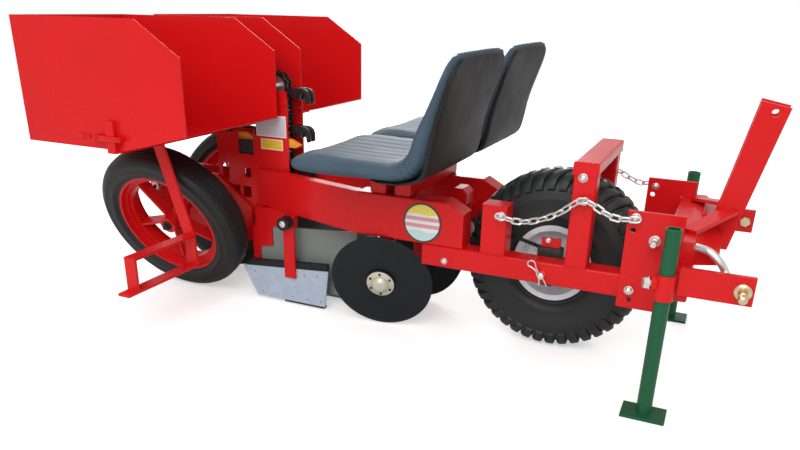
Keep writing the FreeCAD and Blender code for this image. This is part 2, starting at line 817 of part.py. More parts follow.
def shoe_hanger(side):
    """Flat bar that hangs the skirt from the beam."""
    x0, x1 = hanger_x - hanger_width / 2, hanger_x + hanger_width / 2
    outer = side * (shoe_half_width + hanger_thick)
    bar = block(x0, x1, side * shoe_half_width, outer, hanger_bottom_z, rail_top_z)
    tab = block(x0, x1, side * hanger_tab_y, outer, rail_top_z - hanger_thick, rail_top_z)
    return fuse([bar, tab])


def shoe_knob(side):
    start = V(hanger_x, side * (shoe_half_width + hanger_thick), knob_z)
    return rod(start, start + V(0, side * knob_length, 0), knob_radius)


# ---- opener discs -------------------------------------------------------------------------------
def opener_disc(side):
    half = disc_thick / 2
    bore = disc_axle_radius + axle_play
    disc = revolve([(bore, -half), (disc_radius - disc_bevel, -half), (disc_radius, -disc_edge / 2),
                    (disc_radius, disc_edge / 2), (disc_radius - disc_bevel, half), (bore, half)])
    face = -half - disc_hub_thick
    floor = -half - disc_edge
    hub = revolve([(0, face - disc_cap_height), (disc_cap_radius * 0.6, face - disc_cap_height),
                   (disc_cap_radius, face - disc_cap_height * 0.4), (disc_cap_radius, face),
                   (disc_hub_radius, face), (disc_hub_radius, half), (disc_cap_radius, half + disc_boss),
                   (bore, half + disc_boss), (bore, floor), (0, floor)])
    return aim_wheel(fuse([disc, hub]), side, disc_lean, disc_toe, V(disc_x, side * disc_y, disc_z))


def disc_arm(side):
    """Arm below the beam with the disc's stub axle."""
    half = disc_thick / 2
    axle = rod(V(0, -half, 0), V(0, disc_arm_gap + disc_arm_thick, 0), disc_axle_radius)
    axle = aim_wheel(axle, side, disc_lean, disc_toe, V(disc_x, side * disc_y, disc_z))
    outer = disc_y - disc_arm_gap
    arm = block(disc_x - disc_arm_length / 2, disc_x + disc_arm_length / 2, side * outer,
                side * (outer - disc_arm_thick), disc_z - disc_arm_below, rail_top_z)
    return fuse([axle, arm])


# ---- packing wheels -----------------------------------------------------------------------------
def packing_centre(side):
    return V(packing_x, side * packing_y, packing_z)


def packing_tyre(side):
    half = packing_width / 2
    bead_y = packing_rim_width / 2 - rim_wall - bead_gap
    shoulder = (packing_tread_half + half) / 2
    wing = [(packing_rim_radius - rim_lip + bead_gap, bead_y), (packing_rim_radius + bead_gap, bead_y),
            (packing_rim_radius + rim_lip + packing_shoulder, half),
            (packing_radius - packing_shoulder, shoulder + rim_wall), (packing_radius, packing_tread_half)]
    section = flip(wing) + wing[::-1]
    return aim_wheel(facet_ring(section, packing_facets, 0.0), side, packing_lean, packing_toe,
                     packing_centre(side))


def packing_rim(side):
    """Rim of stepped rings with its hub and flat spokes."""
    half = packing_rim_width / 2
    step = packing_rim_step
    seat = packing_rim_radius - rim_lip
    well = seat - 2 * step
    outer = [(packing_rim_radius, half), (packing_rim_radius, half - rim_wall), (seat, half - rim_wall),
             (seat, half - 2 * step), (seat - step, half - 2 * step), (seat - step, step), (well, step)]
    inner = [(seat - rim_wall, half), (seat - rim_wall, half - 2 * step + rim_wall),
             (seat - step - rim_wall, half - 2 * step + rim_wall), (seat - step - rim_wall, step + rim_wall),
             (well - rim_wall, step + rim_wall)]
    ring = revolve(outer + flip(outer)[::-1] + flip(inner) + inner[::-1])
    bore = packing_axle_radius + axle_play
    hub_half = packing_hub_length / 2
    hub = revolve([(bore, -hub_half), (packing_hub_radius, -hub_half), (packing_hub_radius, hub_half),
                   (bore, hub_half)])
    shapes = [ring, hub]
    for index in range(spoke_count):
        spoke = block(packing_hub_radius - rim_wall, well - rim_wall / 2, -spoke_width / 2, spoke_width / 2,
                      -spoke_thick / 2, spoke_thick / 2)
        spoke.rotate(V(0, 0, 0), SIDEWAYS, 360.0 * index / spoke_count + spoke_turn)
        shapes.append(spoke)
    return aim_wheel(fuse(shapes), side, packing_lean, packing_toe, packing_centre(side))


def packing_arm(side):
    """Gusset and bar from the planter's rear plate with the wheel's stub axle."""
    y0, y1 = side * column_outer_y, side * (column_outer_y + arm_thick)
    low_z = arm_bar_bottom_z + arm_bar_height
    end_x, end_rise = bush_x - bush_radius - bush_margin, bush_radius + bush_margin
    gusset = side_profile([(arm_root_x, rear_plate_low_z), (rear_plate_rear_x, arm_top_z),
                           (arm_rear_x, arm_top_z),
                           (end_x, bush_z + bush_radius), (end_x, bush_z - bush_radius),
                           (bush_x, bush_z - end_rise), (packing_x - packing_hub_length, low_z),
                           (arm_root_x, low_z)], y0, y1)
    gusset = gusset.cut(rod(V(bush_x, y0, bush_z), V(bush_x, y1, bush_z), bush_radius))
    bar = side_profile([(arm_root_x, arm_bar_bottom_z), (arm_root_x, low_z), (arm_bar_rear_x, low_z),
                        (arm_bar_rear_x, arm_bar_bottom_z)], y0, y1)
    reach = (packing_y - column_outer_y - arm_thick / 2) / math.cos(lean)
    axle = rod(V(0, -packing_hub_length / 2, 0), V(0, reach, 0), packing_axle_radius)
    axle = aim_wheel(axle, side, packing_lean, packing_toe, packing_centre(side))
    return fuse([gusset, bar, axle])


def rear_bush():
    """Cross tube between the rear ends of the packing arms."""
    half = column_outer_y + arm_thick + bush_margin
    start, end = V(bush_x, -half, bush_z), V(bush_x, half, bush_z)
    return rod(start, end, bush_radius).cut(rod(start, end, bush_bore_radius))


# ---- trays --------------------------------------------------------------------------------------
def tray(side):
    body = side_profile([(tray_rear_x, tray_floor_z), (tray_break_x, tray_floor_z),
                         (tray_front_x, tray_lip_z), (tray_front_x, tray_chamfer_z),
                         (tray_chamfer_x, tray_top_z), (tray_rear_x, tray_top_z)],
                        side * tray_inner_y, side * tray_outer_y)
    climb = (tray_lip_z - tray_floor_z) / (tray_front_x - tray_break_x)
    mouth_x = tray_front_x + tray_post_size
    floor_z = tray_floor_z + tray_sheet
    hollow = side_profile([(tray_rear_x + tray_sheet, floor_z), (tray_break_x, floor_z),
                           (mouth_x, floor_z + climb * (mouth_x - tray_break_x)),
                           (mouth_x, tray_top_z + overcut), (tray_rear_x + tray_sheet, tray_top_z + overcut)],
                          side * (tray_inner_y + tray_sheet), side * (tray_outer_y - tray_sheet))
    return body.cut(hollow)


def tray_supports():
    bar = block(tray_bar_x - tray_bar_width / 2, tray_bar_x + tray_bar_width / 2,
                -tray_outer_y, tray_outer_y, tray_bar_bottom_z, tray_floor_z)
    posts = [block(tray_bar_x - tray_post_size / 2, tray_bar_x + tray_post_size / 2,
                   side * tray_outer_y, side * (tray_outer_y + tray_post_size / 2),
                   tray_bar_bottom_z, tray_floor_z + tray_post_height)
             for side in SIDES.values()]
    return fuse([bar] + posts)


def footrest(side):
    """Bar from the tray's support with the loop that a boot rests in."""
    def bar(start, end, normal):
        return flat_bar(V(start[0], side * start[1], start[2]), V(end[0], side * end[1], end[2]),
                        foot_bar, foot_thick, normal)

    in_top, out_top = (foot_x, foot_inner_y, foot_top_z), (foot_x, foot_outer_y, foot_top_z)
    in_low, out_low = (foot_x, foot_inner_y, foot_bottom_z), (foot_x, foot_outer_y, foot_bottom_z)
    above_bar = block(tray_bar_x - foot_bar, tray_bar_x + foot_bar, side * (foot_inner_y - foot_bar),
                      side * (foot_inner_y + foot_bar), tray_bar_bottom_z, tray_floor_z + foot_bar)
    drop = bar((tray_bar_x, foot_inner_y, tray_floor_z), in_top, SIDEWAYS).cut(above_bar)
    knee = (foot_x, foot_inner_y, foot_top_z + foot_bar / 4)
    return fuse([drop, bar(knee, in_low, SIDEWAYS), bar(in_top, out_top, UP),
                 bar((foot_x, foot_outer_y, foot_top_z + foot_thick / 2), out_low, SIDEWAYS),
                 bar(in_low, (foot_x, foot_toe_y, foot_bottom_z), UP)])


# ---- seats --------------------------------------------------------------------------------------
def seat_bounds(side):
    """The rounded corners that shell and cushion share, seen from behind and from above."""
    y0, y1 = side * seat_inner_y, side * (seat_inner_y + seat_width)
    body = block(seat_front_x, back_top_x + pan_thick, y0, y1, seat_bottom_z, seat_top_z)
    top = [edge for edge in body.Edges
           if edge.BoundBox.ZMin > seat_top_z - overcut and edge.BoundBox.XLength > seat_width / 2]
    front = [edge for edge in body.Edges
             if edge.BoundBox.XMax < seat_front_x + overcut and edge.BoundBox.ZLength > pan_thick]
    return body.makeFillet(back_corner, top).common(body.makeFillet(pan_corner, front))


def shell_line(depth):
    """Points of the bucket's outer side line, a depth inside the shell."""
    low_z = seat_bottom_z + back_low_rise
    floor_z = seat_bottom_z + depth
    return [(seat_front_x + cushion_edge, floor_z), (back_bend_x - depth, floor_z),
            (back_low_x - depth, low_z + depth / 2), (back_top_x - depth, seat_top_z)]


def seat_shell(side):
    outline = shell_line(0) + shell_line(shell_thick)[::-1]
    body = side_profile(outline, side * seat_inner_y, side * (seat_inner_y + seat_width))
    return body.common(seat_bounds(side))


def seat_cushion(side):
    pan_top = seat_bottom_z + pan_thick
    front_z = seat_bottom_z + shell_thick
    outline = [(seat_front_x, front_z + cushion_edge), (seat_front_x, pan_top - cushion_edge),
               (seat_front_x + cushion_edge, pan_top), (lap_front_x, pan_top), (lap_top_x, seat_top_z)]
    outline += shell_line(shell_thick)[::-1]
    body = side_profile(outline, side * seat_inner_y, side * (seat_inner_y + seat_width))
    return body.common(seat_bounds(side))


def seat_bars():
    """Two cross tubes on the beams with the pads under the seats."""
    half = frame_half - seat_bar_inset
    shapes = []
    for x in seat_bar_x:
        shapes.append(box_tube(x, x + seat_bar_size, -half, half, beam_top_z, beam_top_z + seat_bar_size,
                               seat_bar_wall, SIDEWAYS))
        for side in SIDES.values():
            shapes.append(block(x, x + seat_bar_size, side * seat_pad_y[0], side * seat_pad_y[1],
                                beam_top_z + seat_bar_size - tube_corner, seat_bottom_z))
    return fuse(shapes)


# ---- headstock ----------------------------------------------------------------------------------
def head_plate(side):
    """Side plate of the headstock, cut out round the cross tubes."""
    inner, outer = side * plate_inner_y, side * plate_outer_y
    outline = [(plate_rear_x, plate_bottom_z), (plate_bottom_front_x, plate_bottom_z),
               (tube_front_x, lower_tube_bottom_z - plate_toe), (tube_front_x, upper_box_top_z),
               (plate_top_front_x, upper_box_top_z), (plate_top_front_x, plate_top_z),
               (plate_rear_x, plate_top_z)]
    plate = side_profile(outline, inner, outer)
    plate = plate.cut(block(tube_rear_x, tube_front_x, inner, outer, lower_tube_bottom_z, upper_box_top_z))
    for x, z in plate_holes:
        plate = plate.cut(rod(V(x, inner, z), V(x, outer, z), plate_hole_radius))
    return plate


def head_pivot(side):
    return rod(V(pivot_x, side * (rail_inner_y - pivot_end), rail_axis_z),
               V(pivot_x, side * plate_inner_y, rail_axis_z), pivot_radius)


def lower_tube():
    return box_tube(tube_rear_x, tube_front_x, -tube_half, tube_half,
                    lower_tube_bottom_z, lower_tube_top_z, tube_wall, SIDEWAYS)


def upper_box():
    """Second cross tube, with the sloped noses in front of it."""
    box = box_tube(tube_rear_x, tube_front_x, -upper_box_half, upper_box_half,
                   lower_tube_top_z, upper_box_top_z, tube_wall, SIDEWAYS)
    root_x = tube_front_x - tube_wall
    nose_x = tube_front_x + nose_length
    outline = [(root_x, upper_box_top_z - tube_corner / 2), (tube_front_x, upper_box_top_z - tube_corner / 2),
               (nose_x, upper_box_top_z - nose_drop), (nose_x, upper_box_top_z - nose_height),
               (tube_front_x, upper_box_top_z - nose_height - nose_root),
               (root_x, upper_box_top_z - nose_height - nose_root)]
    inner, outer = mast_gap_half + mast_thick, upper_box_half - nose_root
    noses = [side_profile(outline, side * inner, side * outer) for side in SIDES.values()]
    return fuse([box] + noses)


def hitch_arm(side):
    return block(arm_plate_rear_x, arm_plate_front_x, side * tube_half, side * hitch_half_span,
                 arm_plate_bottom_z, arm_plate_bottom_z + arm_plate_height)


def hitch_pin(side):
    root = V(hitch_pin_x, side * hitch_half_span, arm_plate_bottom_z + arm_plate_height / 2)
    out = SIDEWAYS * side
    collar = rod(root, root + out * hitch_collar_thick, hitch_collar_radius)
    pin = rod(root, root + out * (hitch_collar_thick + hitch_pin_length), hitch_pin_radius)
    return fuse([collar, pin])


def mast():
    """Twin flat bars to the top link's hole, with a spacer between them."""
    lean_angle = math.radians(mast_lean)
    top_front = V(mast_top_x, 0, mast_top_z)
    top_rear = top_front + V(-math.cos(lean_angle), 0, math.sin(lean_angle)) * mast_width
    outline = [(tube_front_x, mast_foot_z), (tube_front_x + mast_foot_length, mast_foot_z),
               (top_front.x, top_front.z), (top_rear.x, top_rear.z),
               (tube_front_x + mast_heel, upper_box_top_z), (tube_front_x, upper_box_top_z)]
    outer = mast_gap_half + mast_thick
    hole_x, hole_z = mast_top_x - mast_hole_inset_x, mast_top_z - mast_hole_inset_z
    bore = rod(V(hole_x, -outer, hole_z), V(hole_x, outer, hole_z), mast_hole_radius)
    bars = [side_profile(outline, side * mast_gap_half, side * outer).cut(bore) for side in SIDES.values()]
    spacer_x, spacer_z = tube_front_x + mast_spacer_rise, upper_box_top_z + mast_spacer_rise
    spacer = rod(V(spacer_x, -mast_gap_half, spacer_z), V(spacer_x, mast_gap_half, spacer_z),
                 mast_spacer_radius)
    return fuse(bars + [spacer])


def mast_brace(side):
    """Flat bar from the cross tube up to the mast's side."""
    mast_side = mast_gap_half + mast_thick
    start = V(tube_front_x - brace_foot, side * (plate_inner_y - brace_inset),
              upper_box_top_z + brace_thick / 2)
    end = V(tube_front_x + brace_reach, side * mast_side, upper_box_top_z + brace_rise)
    bar = flat_bar(start, end, brace_width, brace_thick, UP)
    inside = block(start.x, end.x + brace_width, 0, side * mast_side, upper_box_top_z, mast_top_z)
    return bar.cut(inside)


def stand_sleeve(side):
    centre = V(stand_x, side * stand_y, sleeve_bottom_z)
    outer = Part.makeCylinder(sleeve_radius, sleeve_height, centre, UP)
    return outer.cut(Part.makeCylinder(stand_radius + sleeve_play, sleeve_height, centre, UP))


def stand(side):
    foot = block(stand_x - foot_plate_length / 2, stand_x + foot_plate_length / 2,
                 side * (stand_y - foot_plate_width / 2), side * (stand_y + foot_plate_width / 2),
                 0, foot_plate_thick)
    centre = V(stand_x, side * stand_y, foot_plate_thick)
    outer = Part.makeCylinder(stand_radius, stand_top_z - foot_plate_thick, centre, UP)
    inner = Part.makeCylinder(stand_radius - stand_wall, stand_top_z, centre, UP)
    return fuse([foot, outer.cut(inner)])


# ---- lift chains --------------------------------------------------------------------------------
def lift_chain(side):
    """Chain of cornered links along the route of its sag."""
    first_x, last_x = lift_points[0][0], lift_points[-1][0]
    step_out = plate_outer_y - frame_half
    route = Part.BSplineCurve()
    route.interpolate([V(x, 0, z) for x, z in lift_points])
    edge = route.toShape()
    count = int(edge.Length / (link_length - 2 * link_wire))
    stations = edge.discretize(Number=count + 1)
    links = []
    for index in range(count):
        start, end = stations[index], stations[index + 1]
        middle = (start + end) * 0.5
        link = chain_link(upright=index % 2 == 0)
        link.rotate(V(0, 0, 0), V(0, -1, 0), math.degrees(math.atan2(end.z - start.z, end.x - start.x)))
        out = frame_half + lift_chain_gap + step_out * (middle.x - first_x) / (last_x - first_x)
        link.translate(V(middle.x, side * out, middle.z))
        links.append(link)
    return Part.makeCompound(links)


def chain_link(upright):
    """Six-cornered ring, long in X, lying in the XZ plane or edge on."""
    def ring(inset):
        half_x, half_z = link_length / 2 - inset, link_width / 2 - inset
        flank = half_x - half_z * 0.7
        points = [(half_x, 0), (flank, half_z), (-flank, half_z),
                  (-half_x, 0), (-flank, -half_z), (flank, -half_z)]
        return side_profile(points, -link_wire / 2, link_wire / 2)

    link = ring(0).cut(ring(link_wire))
    if not upright:
        link.rotate(V(0, 0, 0), V(1, 0, 0), 90)
    return link


SINGLE_NODES = {
    "hoop_top": hoop_top, "gauge_axle": gauge_axle, "gauge_tyre": gauge_tyre, "gauge_rim": gauge_rim,
    "drive_chain": drive_chain, "jackshaft": jackshaft, "beam_cross": beam_cross,
    "planting_chain": planting_chain, "planting_sprockets": planting_sprockets, "shoe_keel": shoe_keel,
    "rear_bush": rear_bush, "tray_supports": tray_supports, "seat_bars": seat_bars,
    "lower_tube": lower_tube, "upper_box": upper_box, "mast": mast,
}
PAIRED_NODES = {
    "chain_posts": chain_post, "hoop_legs": hoop_leg, "gauge_axle_plates": axle_plate,
    "shoe_brackets": shoe_bracket, "shoe_walls": shoe_wall, "shoe_skirts": shoe_skirt,
    "shoe_skids": shoe_skid, "shoe_hangers": shoe_hanger, "shoe_knobs": shoe_knob,
    "disc_arms": disc_arm, "head_pivots": head_pivot,
    "hitch_pins": hitch_pin, "mast_braces": mast_brace, "stand_sleeves": stand_sleeve,
}
SIDED_NODES = {
    "rail": rail, "beam": beam, "planter_side": planter_side, "opener_disc": opener_disc,
    "packing_tyre": packing_tyre, "packing_rim": packing_rim, "packing_arm": packing_arm,
    "tray": tray, "footrest": footrest, "seat_shell": seat_shell, "seat_cushion": seat_cushion,
    "head_plate": head_plate, "hitch_arm": hitch_arm, "stand": stand, "lift_chain": lift_chain,
}


def all_nodes():
    """Every node's name and shape."""
    nodes = {name: make() for name, make in SINGLE_NODES.items()}
    nodes.update({name: both_sides(make) for name, make in PAIRED_NODES.items()})
    for name, make in SIDED_NODES.items():
        nodes.update({name + "_" + word: make(side) for word, side in SIDES.items()})
    return nodes


os.makedirs("parts", exist_ok=True)
for name, shape in all_nodes().items():
    shape.exportStep("parts/" + name + ".step")
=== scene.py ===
"""Looks of the bare root transplanter: finishes and the fine pieces of each sub-assembly.

Lengths are metres in the part's own frame: +X to the tractor, +Y left, +Z up, floor at z = 0.
A class holds each sub-assembly, a frozen dataclass each finish, and main() builds them in order.
"""
import json
import logging
import math
from dataclasses import dataclass
from enum import Enum
from typing import Any, Sequence, Union

import bmesh
import bpy
from bmesh.types import BMesh
from mathutils import Matrix, Vector


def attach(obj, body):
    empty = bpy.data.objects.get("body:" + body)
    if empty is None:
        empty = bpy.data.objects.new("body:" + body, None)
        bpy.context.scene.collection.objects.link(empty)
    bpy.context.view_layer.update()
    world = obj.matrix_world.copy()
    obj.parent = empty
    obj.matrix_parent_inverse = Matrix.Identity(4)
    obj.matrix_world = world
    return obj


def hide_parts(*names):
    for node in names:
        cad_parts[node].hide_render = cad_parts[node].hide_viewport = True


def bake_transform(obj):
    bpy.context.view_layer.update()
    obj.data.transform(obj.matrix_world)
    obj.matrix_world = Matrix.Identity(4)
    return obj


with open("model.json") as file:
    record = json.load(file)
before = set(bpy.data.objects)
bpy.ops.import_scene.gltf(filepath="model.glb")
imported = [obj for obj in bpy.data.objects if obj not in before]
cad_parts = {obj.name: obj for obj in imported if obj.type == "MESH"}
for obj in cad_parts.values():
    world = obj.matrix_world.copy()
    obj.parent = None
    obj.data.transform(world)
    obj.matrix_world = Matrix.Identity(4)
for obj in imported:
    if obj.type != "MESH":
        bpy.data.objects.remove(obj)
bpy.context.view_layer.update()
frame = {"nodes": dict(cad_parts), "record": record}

LOG = logging.getLogger("transplanter")
SLOTS = {part["node"]: part["material_slot"] for part in frame["record"]["subparts"]}
WHITE = (1.0, 1.0, 1.0, 1.0)
STILL = Matrix.Identity(4)
SAME_POINT = 1e-6                       # metres between corners that are merged
BEVEL_ANGLE = 0.5                       # radians from which an edge is rounded
SHARP_ANGLE = math.radians(38.0)        # from which an edge is shaded as a sharp one
Colour = tuple[float, float, float]
Point = tuple[float, float, float]
Pair = tuple[float, float]
Block = tuple[Pair, Pair, Pair]
Key = Union[int, str]


class Side(Enum):
    """Which side of the machine a piece is on, with the sign of its Y."""

    RIGHT = -1
    LEFT = 1

    @property
    def word(self) -> str:
        """Name used in node and piece names."""
        return self.name.lower()

    @property
    def outward(self) -> Vector:
        """Direction away from the machine's middle plane."""
        return Vector((0.0, self.value, 0.0))

    def span(self, inner: float, outer: float) -> Pair:
        """Low and high Y between two distances from the middle plane."""
        low, high = sorted((self.value * inner, self.value * outer))
        return low, high

    def leaning(self, centre: Point, lean: float, toe: float) -> Matrix:
        """Where a leaning wheel goes that was made about the Y axis, its outer face to -Y.

        Args:
            centre: its centre as on the left side.
            lean: degrees that its top leans in.
            toe: degrees that its face is turned forward.

        Returns:
            The move.
        """
        turn = (Matrix.Rotation(math.radians(toe), 4, "Z")
                @ Matrix.Rotation(math.radians(lean), 4, "X"))
        if self is Side.LEFT:
            turn = Matrix.Diagonal((1.0, -1.0, 1.0, 1.0)) @ turn
        return Matrix.Translation((centre[0], self.value * centre[1], centre[2])) @ turn


def bell(value: float, middle: float, width: float) -> float:
    """1 at the middle, falling away smoothly over a width."""
    return math.exp(-((value - middle) / width) ** 2)


def clamped(value: float) -> float:
    """The value kept within 0 to 1."""
    return min(max(value, 0.0), 1.0)


# ---- node trees --------------------------------------------------------------------------------
class Socket:
    """A node's output that takes part in arithmetic, adding Math nodes as it goes."""

    def __init__(self, tree: "NodeTree", link: bpy.types.NodeSocket) -> None:
        """Wraps one output of a tree."""
        self.tree, self.link = tree, link

    def sibling(self, output: Key) -> "Socket":
        """Another output of the same node."""
        return Socket(self.tree, self.link.node.outputs[output])

    def _math(self, operation: str, first: Any, second: Any = 0.0) -> "Socket":
        """Output of a new Math node."""
        return self.tree.node("ShaderNodeMath", {"operation": operation}, {0: first, 1: second})

    def __add__(self, other: Any) -> "Socket":
        """Sum."""
        return self._math("ADD", self, other)

    def __sub__(self, other: Any) -> "Socket":
        """Difference."""
        return self._math("SUBTRACT", self, other)

    def __rsub__(self, other: Any) -> "Socket":
        """Difference with the number first."""
        return self._math("SUBTRACT", other, self)

    def __mul__(self, other: Any) -> "Socket":
        """Product."""
        return self._math("MULTIPLY", self, other)

    __radd__ = __add__
    __rmul__ = __mul__

    def sine(self) -> "Socket":
        """Sine in radians."""
        return self._math("SINE", self)

    def absolute(self) -> "Socket":
        """Absolute value."""
        return self._math("ABSOLUTE", self)


class NodeTree:
    """A node tree with one way to add a node."""

    def __init__(self, tree: bpy.types.NodeTree) -> None:
        """Wraps a tree."""
        self.tree = tree

    def node(self, kind: str, settings: dict[str, Any], inputs: dict[Key, Any],
             output: Key = 0) -> Socket:
        """Adds a node.

        Args:
            kind: the node's type.
            settings: its properties, set first.
            inputs: values or Sockets by input name or index.
            output: the output to return.

        Returns:
            That output.
        """
        node = self.tree.nodes.new(kind)
        for key, value in settings.items():
            setattr(node, key, value)
        for key, value in inputs.items():
            if isinstance(value, Socket):
                self.tree.links.new(value.link, node.inputs[key])
            else:
                node.inputs[key].default_value = value
        return Socket(self, node.outputs[output])

    def close(self, kind: str, last: Socket) -> None:
        """Links a socket to a new output node of a type."""
        self.tree.links.new(last.link, self.tree.nodes.new(kind).inputs[0])


class Shader(NodeTree):
    """Builds one material."""

    def __init__(self, name: str) -> None:
        """Starts an empty material of a name."""
        self.material = bpy.data.materials.new(name)
        self.material.use_nodes = True
        super().__init__(self.material.node_tree)
        self.tree.nodes.clear()

    def position(self) -> Socket:
        """The point on the piece in the part's frame."""
        return self.node("ShaderNodeTexCoord", {}, {}, "Object")

    def axes(self) -> tuple[Socket, ...]:
        """The point's X, Y and Z, each as a number."""
        split = self.node("ShaderNodeSeparateXYZ", {}, {0: self.position()})
        return tuple(split.sibling(axis) for axis in "XYZ")

    def noise(self, scale: float, detail: float = 3.0, roughness: float = 0.5) -> Socket:
        """Even noise from 0 to 1.

        Args:
            scale: its scale for metres.
            detail: its octaves.
            roughness: how strong the small octaves are.

        Returns:
            The noise's value.
        """
        return self.node("ShaderNodeTexNoise", {}, {
            "Vector": self.position(), "Scale": scale, "Detail": detail,
            "Roughness": roughness}, "Fac")

    def cells(self, scale: float, output: str) -> Socket:
        """One output of a cell pattern at a scale for metres."""
        return self.node("ShaderNodeTexVoronoi", {"feature": "F1"},
                         {"Vector": self.position(), "Scale": scale}, output)

    def ramp(self, value: Socket, low: float, high: float) -> Socket:
        """Smooth step of a value from 0 at low to 1 at high."""
        return self.node("ShaderNodeMapRange", {"interpolation_type": "SMOOTHSTEP"},
                         {0: value, 1: low, 2: high, 3: 0.0, 4: 1.0})

    def blend(self, factor: Any, first: Any, second: Any) -> Socket:
        """Mixes two colours.

        Args:
            factor: 0 gives the first, 1 the second.
            first: a colour or Socket.
            second: a colour or Socket.

        Returns:
            The mixed colour.
        """
        pair = [(*c, 1.0) if isinstance(c, tuple) else c for c in (first, second)]
        return self.node("ShaderNodeMix", {"data_type": "RGBA"},
                         {0: factor, 6: pair[0], 7: pair[1]}, 2)

    def bump(self, height: Socket, distance: float, strength: float,
             normal: Union[Socket, None] = None) -> Socket:
        """Turns a height into a normal.

        Args:
            height: the height, 0 to 1.
            distance: metres that a height of 1 stands proud.
            strength: how much of it shows.
            normal: the normal that it disturbs.

        Returns:
            The new normal.
        """
        inputs = {"Height": height, "Distance": distance, "Strength": strength}
        if normal is not None:
            inputs["Normal"] = normal
        return self.node("ShaderNodeBump", {}, inputs)

    def rounded_edges(self, radius: float) -> Socket:
        """Normal that rounds hard edges by a radius in metres."""
        return self.node("ShaderNodeBevel", {"samples": 4}, {"Radius": radius})

    def surface(self, inputs: dict[str, Any]) -> bpy.types.Material:
        """Ends the tree in a Principled surface with some inputs, and returns the material."""
        self.close("ShaderNodeOutputMaterial", self.node("ShaderNodeBsdfPrincipled", {}, inputs))
        return self.material


class GeometryTree(NodeTree):
    """A Geometry Nodes group that repeats pieces, run once and kept as a plain mesh."""

    def __init__(self, name: str, sizes: dict[str, str]) -> None:
        """Starts the group.

        Args:
            name: its name.
            sizes: each input's socket type by its name.
        """
        super().__init__(bpy.data.node_groups.new(name, "GeometryNodeTree"))
        sockets = {"Geometry": "NodeSocketGeometry", **sizes, "Material": "NodeSocketMaterial"}
        for label, kind in sockets.items():
            self.tree.interface.new_socket(label, in_out="INPUT", socket_type=kind)
        self.tree.interface.new_socket("Geometry", in_out="OUTPUT",
                                       socket_type="NodeSocketGeometry")
        outputs = self.tree.nodes.new("NodeGroupInput").outputs
        self.entry = {label: Socket(self, outputs[label]) for label in sockets}

    def shape(self, label: str) -> Socket:
        """Geometry of an object input."""
        return self.node("GeometryNodeObjectInfo", {"transform_space": "ORIGINAL"},
                         {"Object": self.entry[label]}, "Geometry")

    def end(self, **inputs: Socket) -> None:
        """Sets pieces on points, realizes them, sets their material and ends the group."""
        pieces = self.node("GeometryNodeInstanceOnPoints", {}, inputs)
        plain = self.node("GeometryNodeRealizeInstances", {}, {0: pieces})
        self.close("NodeGroupOutput", self.node("GeometryNodeSetMaterial", {}, {
            "Geometry": plain, "Material": self.entry["Material"]}))

    def run(self, start: bpy.types.Mesh, values: dict[str, Any]) -> BMesh:
        """Runs the group on a mesh.

        Args:
            start: the mesh it starts from.
            values: its inputs by name; a mesh stands for an object input.

        Returns:
            The plain mesh that it makes, open.
        """
        host = placed(self.tree.name, start)
        helpers = [host]
        modifier = host.modifiers.new("repeat", "NODES")
        modifier.node_group = self.tree
        for item in self.tree.interface.items_tree:
            if item.in_out == "INPUT" and item.name in values:
                value = values[item.name]
                if isinstance(value, bpy.types.Mesh):
                    value = placed(item.name, value)
                    helpers.append(value)
                modifier[item.identifier] = value
        bm = reopened(evaluated(host))
        for helper in helpers:
            bpy.data.objects.remove(helper)
        return bm


class RingTree(GeometryTree):
    """Repeats the starting mesh evenly round the Y axis."""

    def __init__(self) -> None:
        """Builds the group."""
        super().__init__("ring_of_pieces", {"Count": "NodeSocketInt"})
        points = self.node("GeometryNodePoints", {}, {"Count": self.entry["Count"]})
        index = self.node("GeometryNodeInputIndex", {}, {})
        step = self.node("ShaderNodeMath", {"operation": "DIVIDE"},
                         {0: 2 * math.pi, 1: self.entry["Count"]})
        angles = self.node("ShaderNodeCombineXYZ", {}, {"Y": index * step})
        self.end(Points=points, Instance=self.entry["Geometry"],
                 Rotation=self.node("FunctionNodeEulerToRotation", {}, {0: angles}))


class ScatterTree(GeometryTree):
    """Sets a piece on every vertex of the starting mesh, aimed and sized by its attributes."""

    def __init__(self) -> None:
        """Builds the group."""
        super().__init__("set_fasteners", {"Piece": "NodeSocketObject"})
        aim, size = (
            self.node("GeometryNodeInputNamedAttribute", {"data_type": kind}, {"Name": name})
            for name, kind in (("aim", "FLOAT_VECTOR"), ("size", "FLOAT")))
        self.end(Points=self.entry["Geometry"], Instance=self.shape("Piece"), Scale=size,
                 Rotation=self.node("FunctionNodeAlignRotationToVector", {"axis": "Z"},
                                    {"Vector": aim}))


class LinkTree(GeometryTree):
    """Threads links along the starting mesh's line, every second one turned about the line."""

    def __init__(self, pivot: str) -> None:
        """Builds the group.

        Args:
            pivot: AUTO for a free line, Y for one in an upright plane.
        """
        super().__init__("threaded_links", {"Count": "NodeSocketInt", "Link": "NodeSocketObject",
                                            "Twist": "NodeSocketFloat"})
        curve = self.node("GeometryNodeMeshToCurve", {}, {"Mesh": self.entry["Geometry"]})
        points = self.node("GeometryNodeCurveToPoints", {},
                           {"Curve": curve, "Count": self.entry["Count"]}, "Points")
        aimed = self.node("FunctionNodeAlignRotationToVector", {"axis": "X", "pivot_axis": pivot},
                          {"Vector": points.sibling("Tangent")})
        index = self.node("GeometryNodeInputIndex", {}, {})
        odd = self.node("ShaderNodeMath", {"operation": "MODULO"}, {0: index, 1: 2.0})
        about = self.node("ShaderNodeCombineXYZ", {}, {"X": odd * self.entry["Twist"]})
        twist = self.node("FunctionNodeEulerToRotation", {}, {0: about})
        self.end(Points=points, Instance=self.shape("Link"),
                 Rotation=self.node("FunctionNodeRotateRotation", {"rotation_space": "LOCAL"},
                                    {0: aimed, 1: twist}))


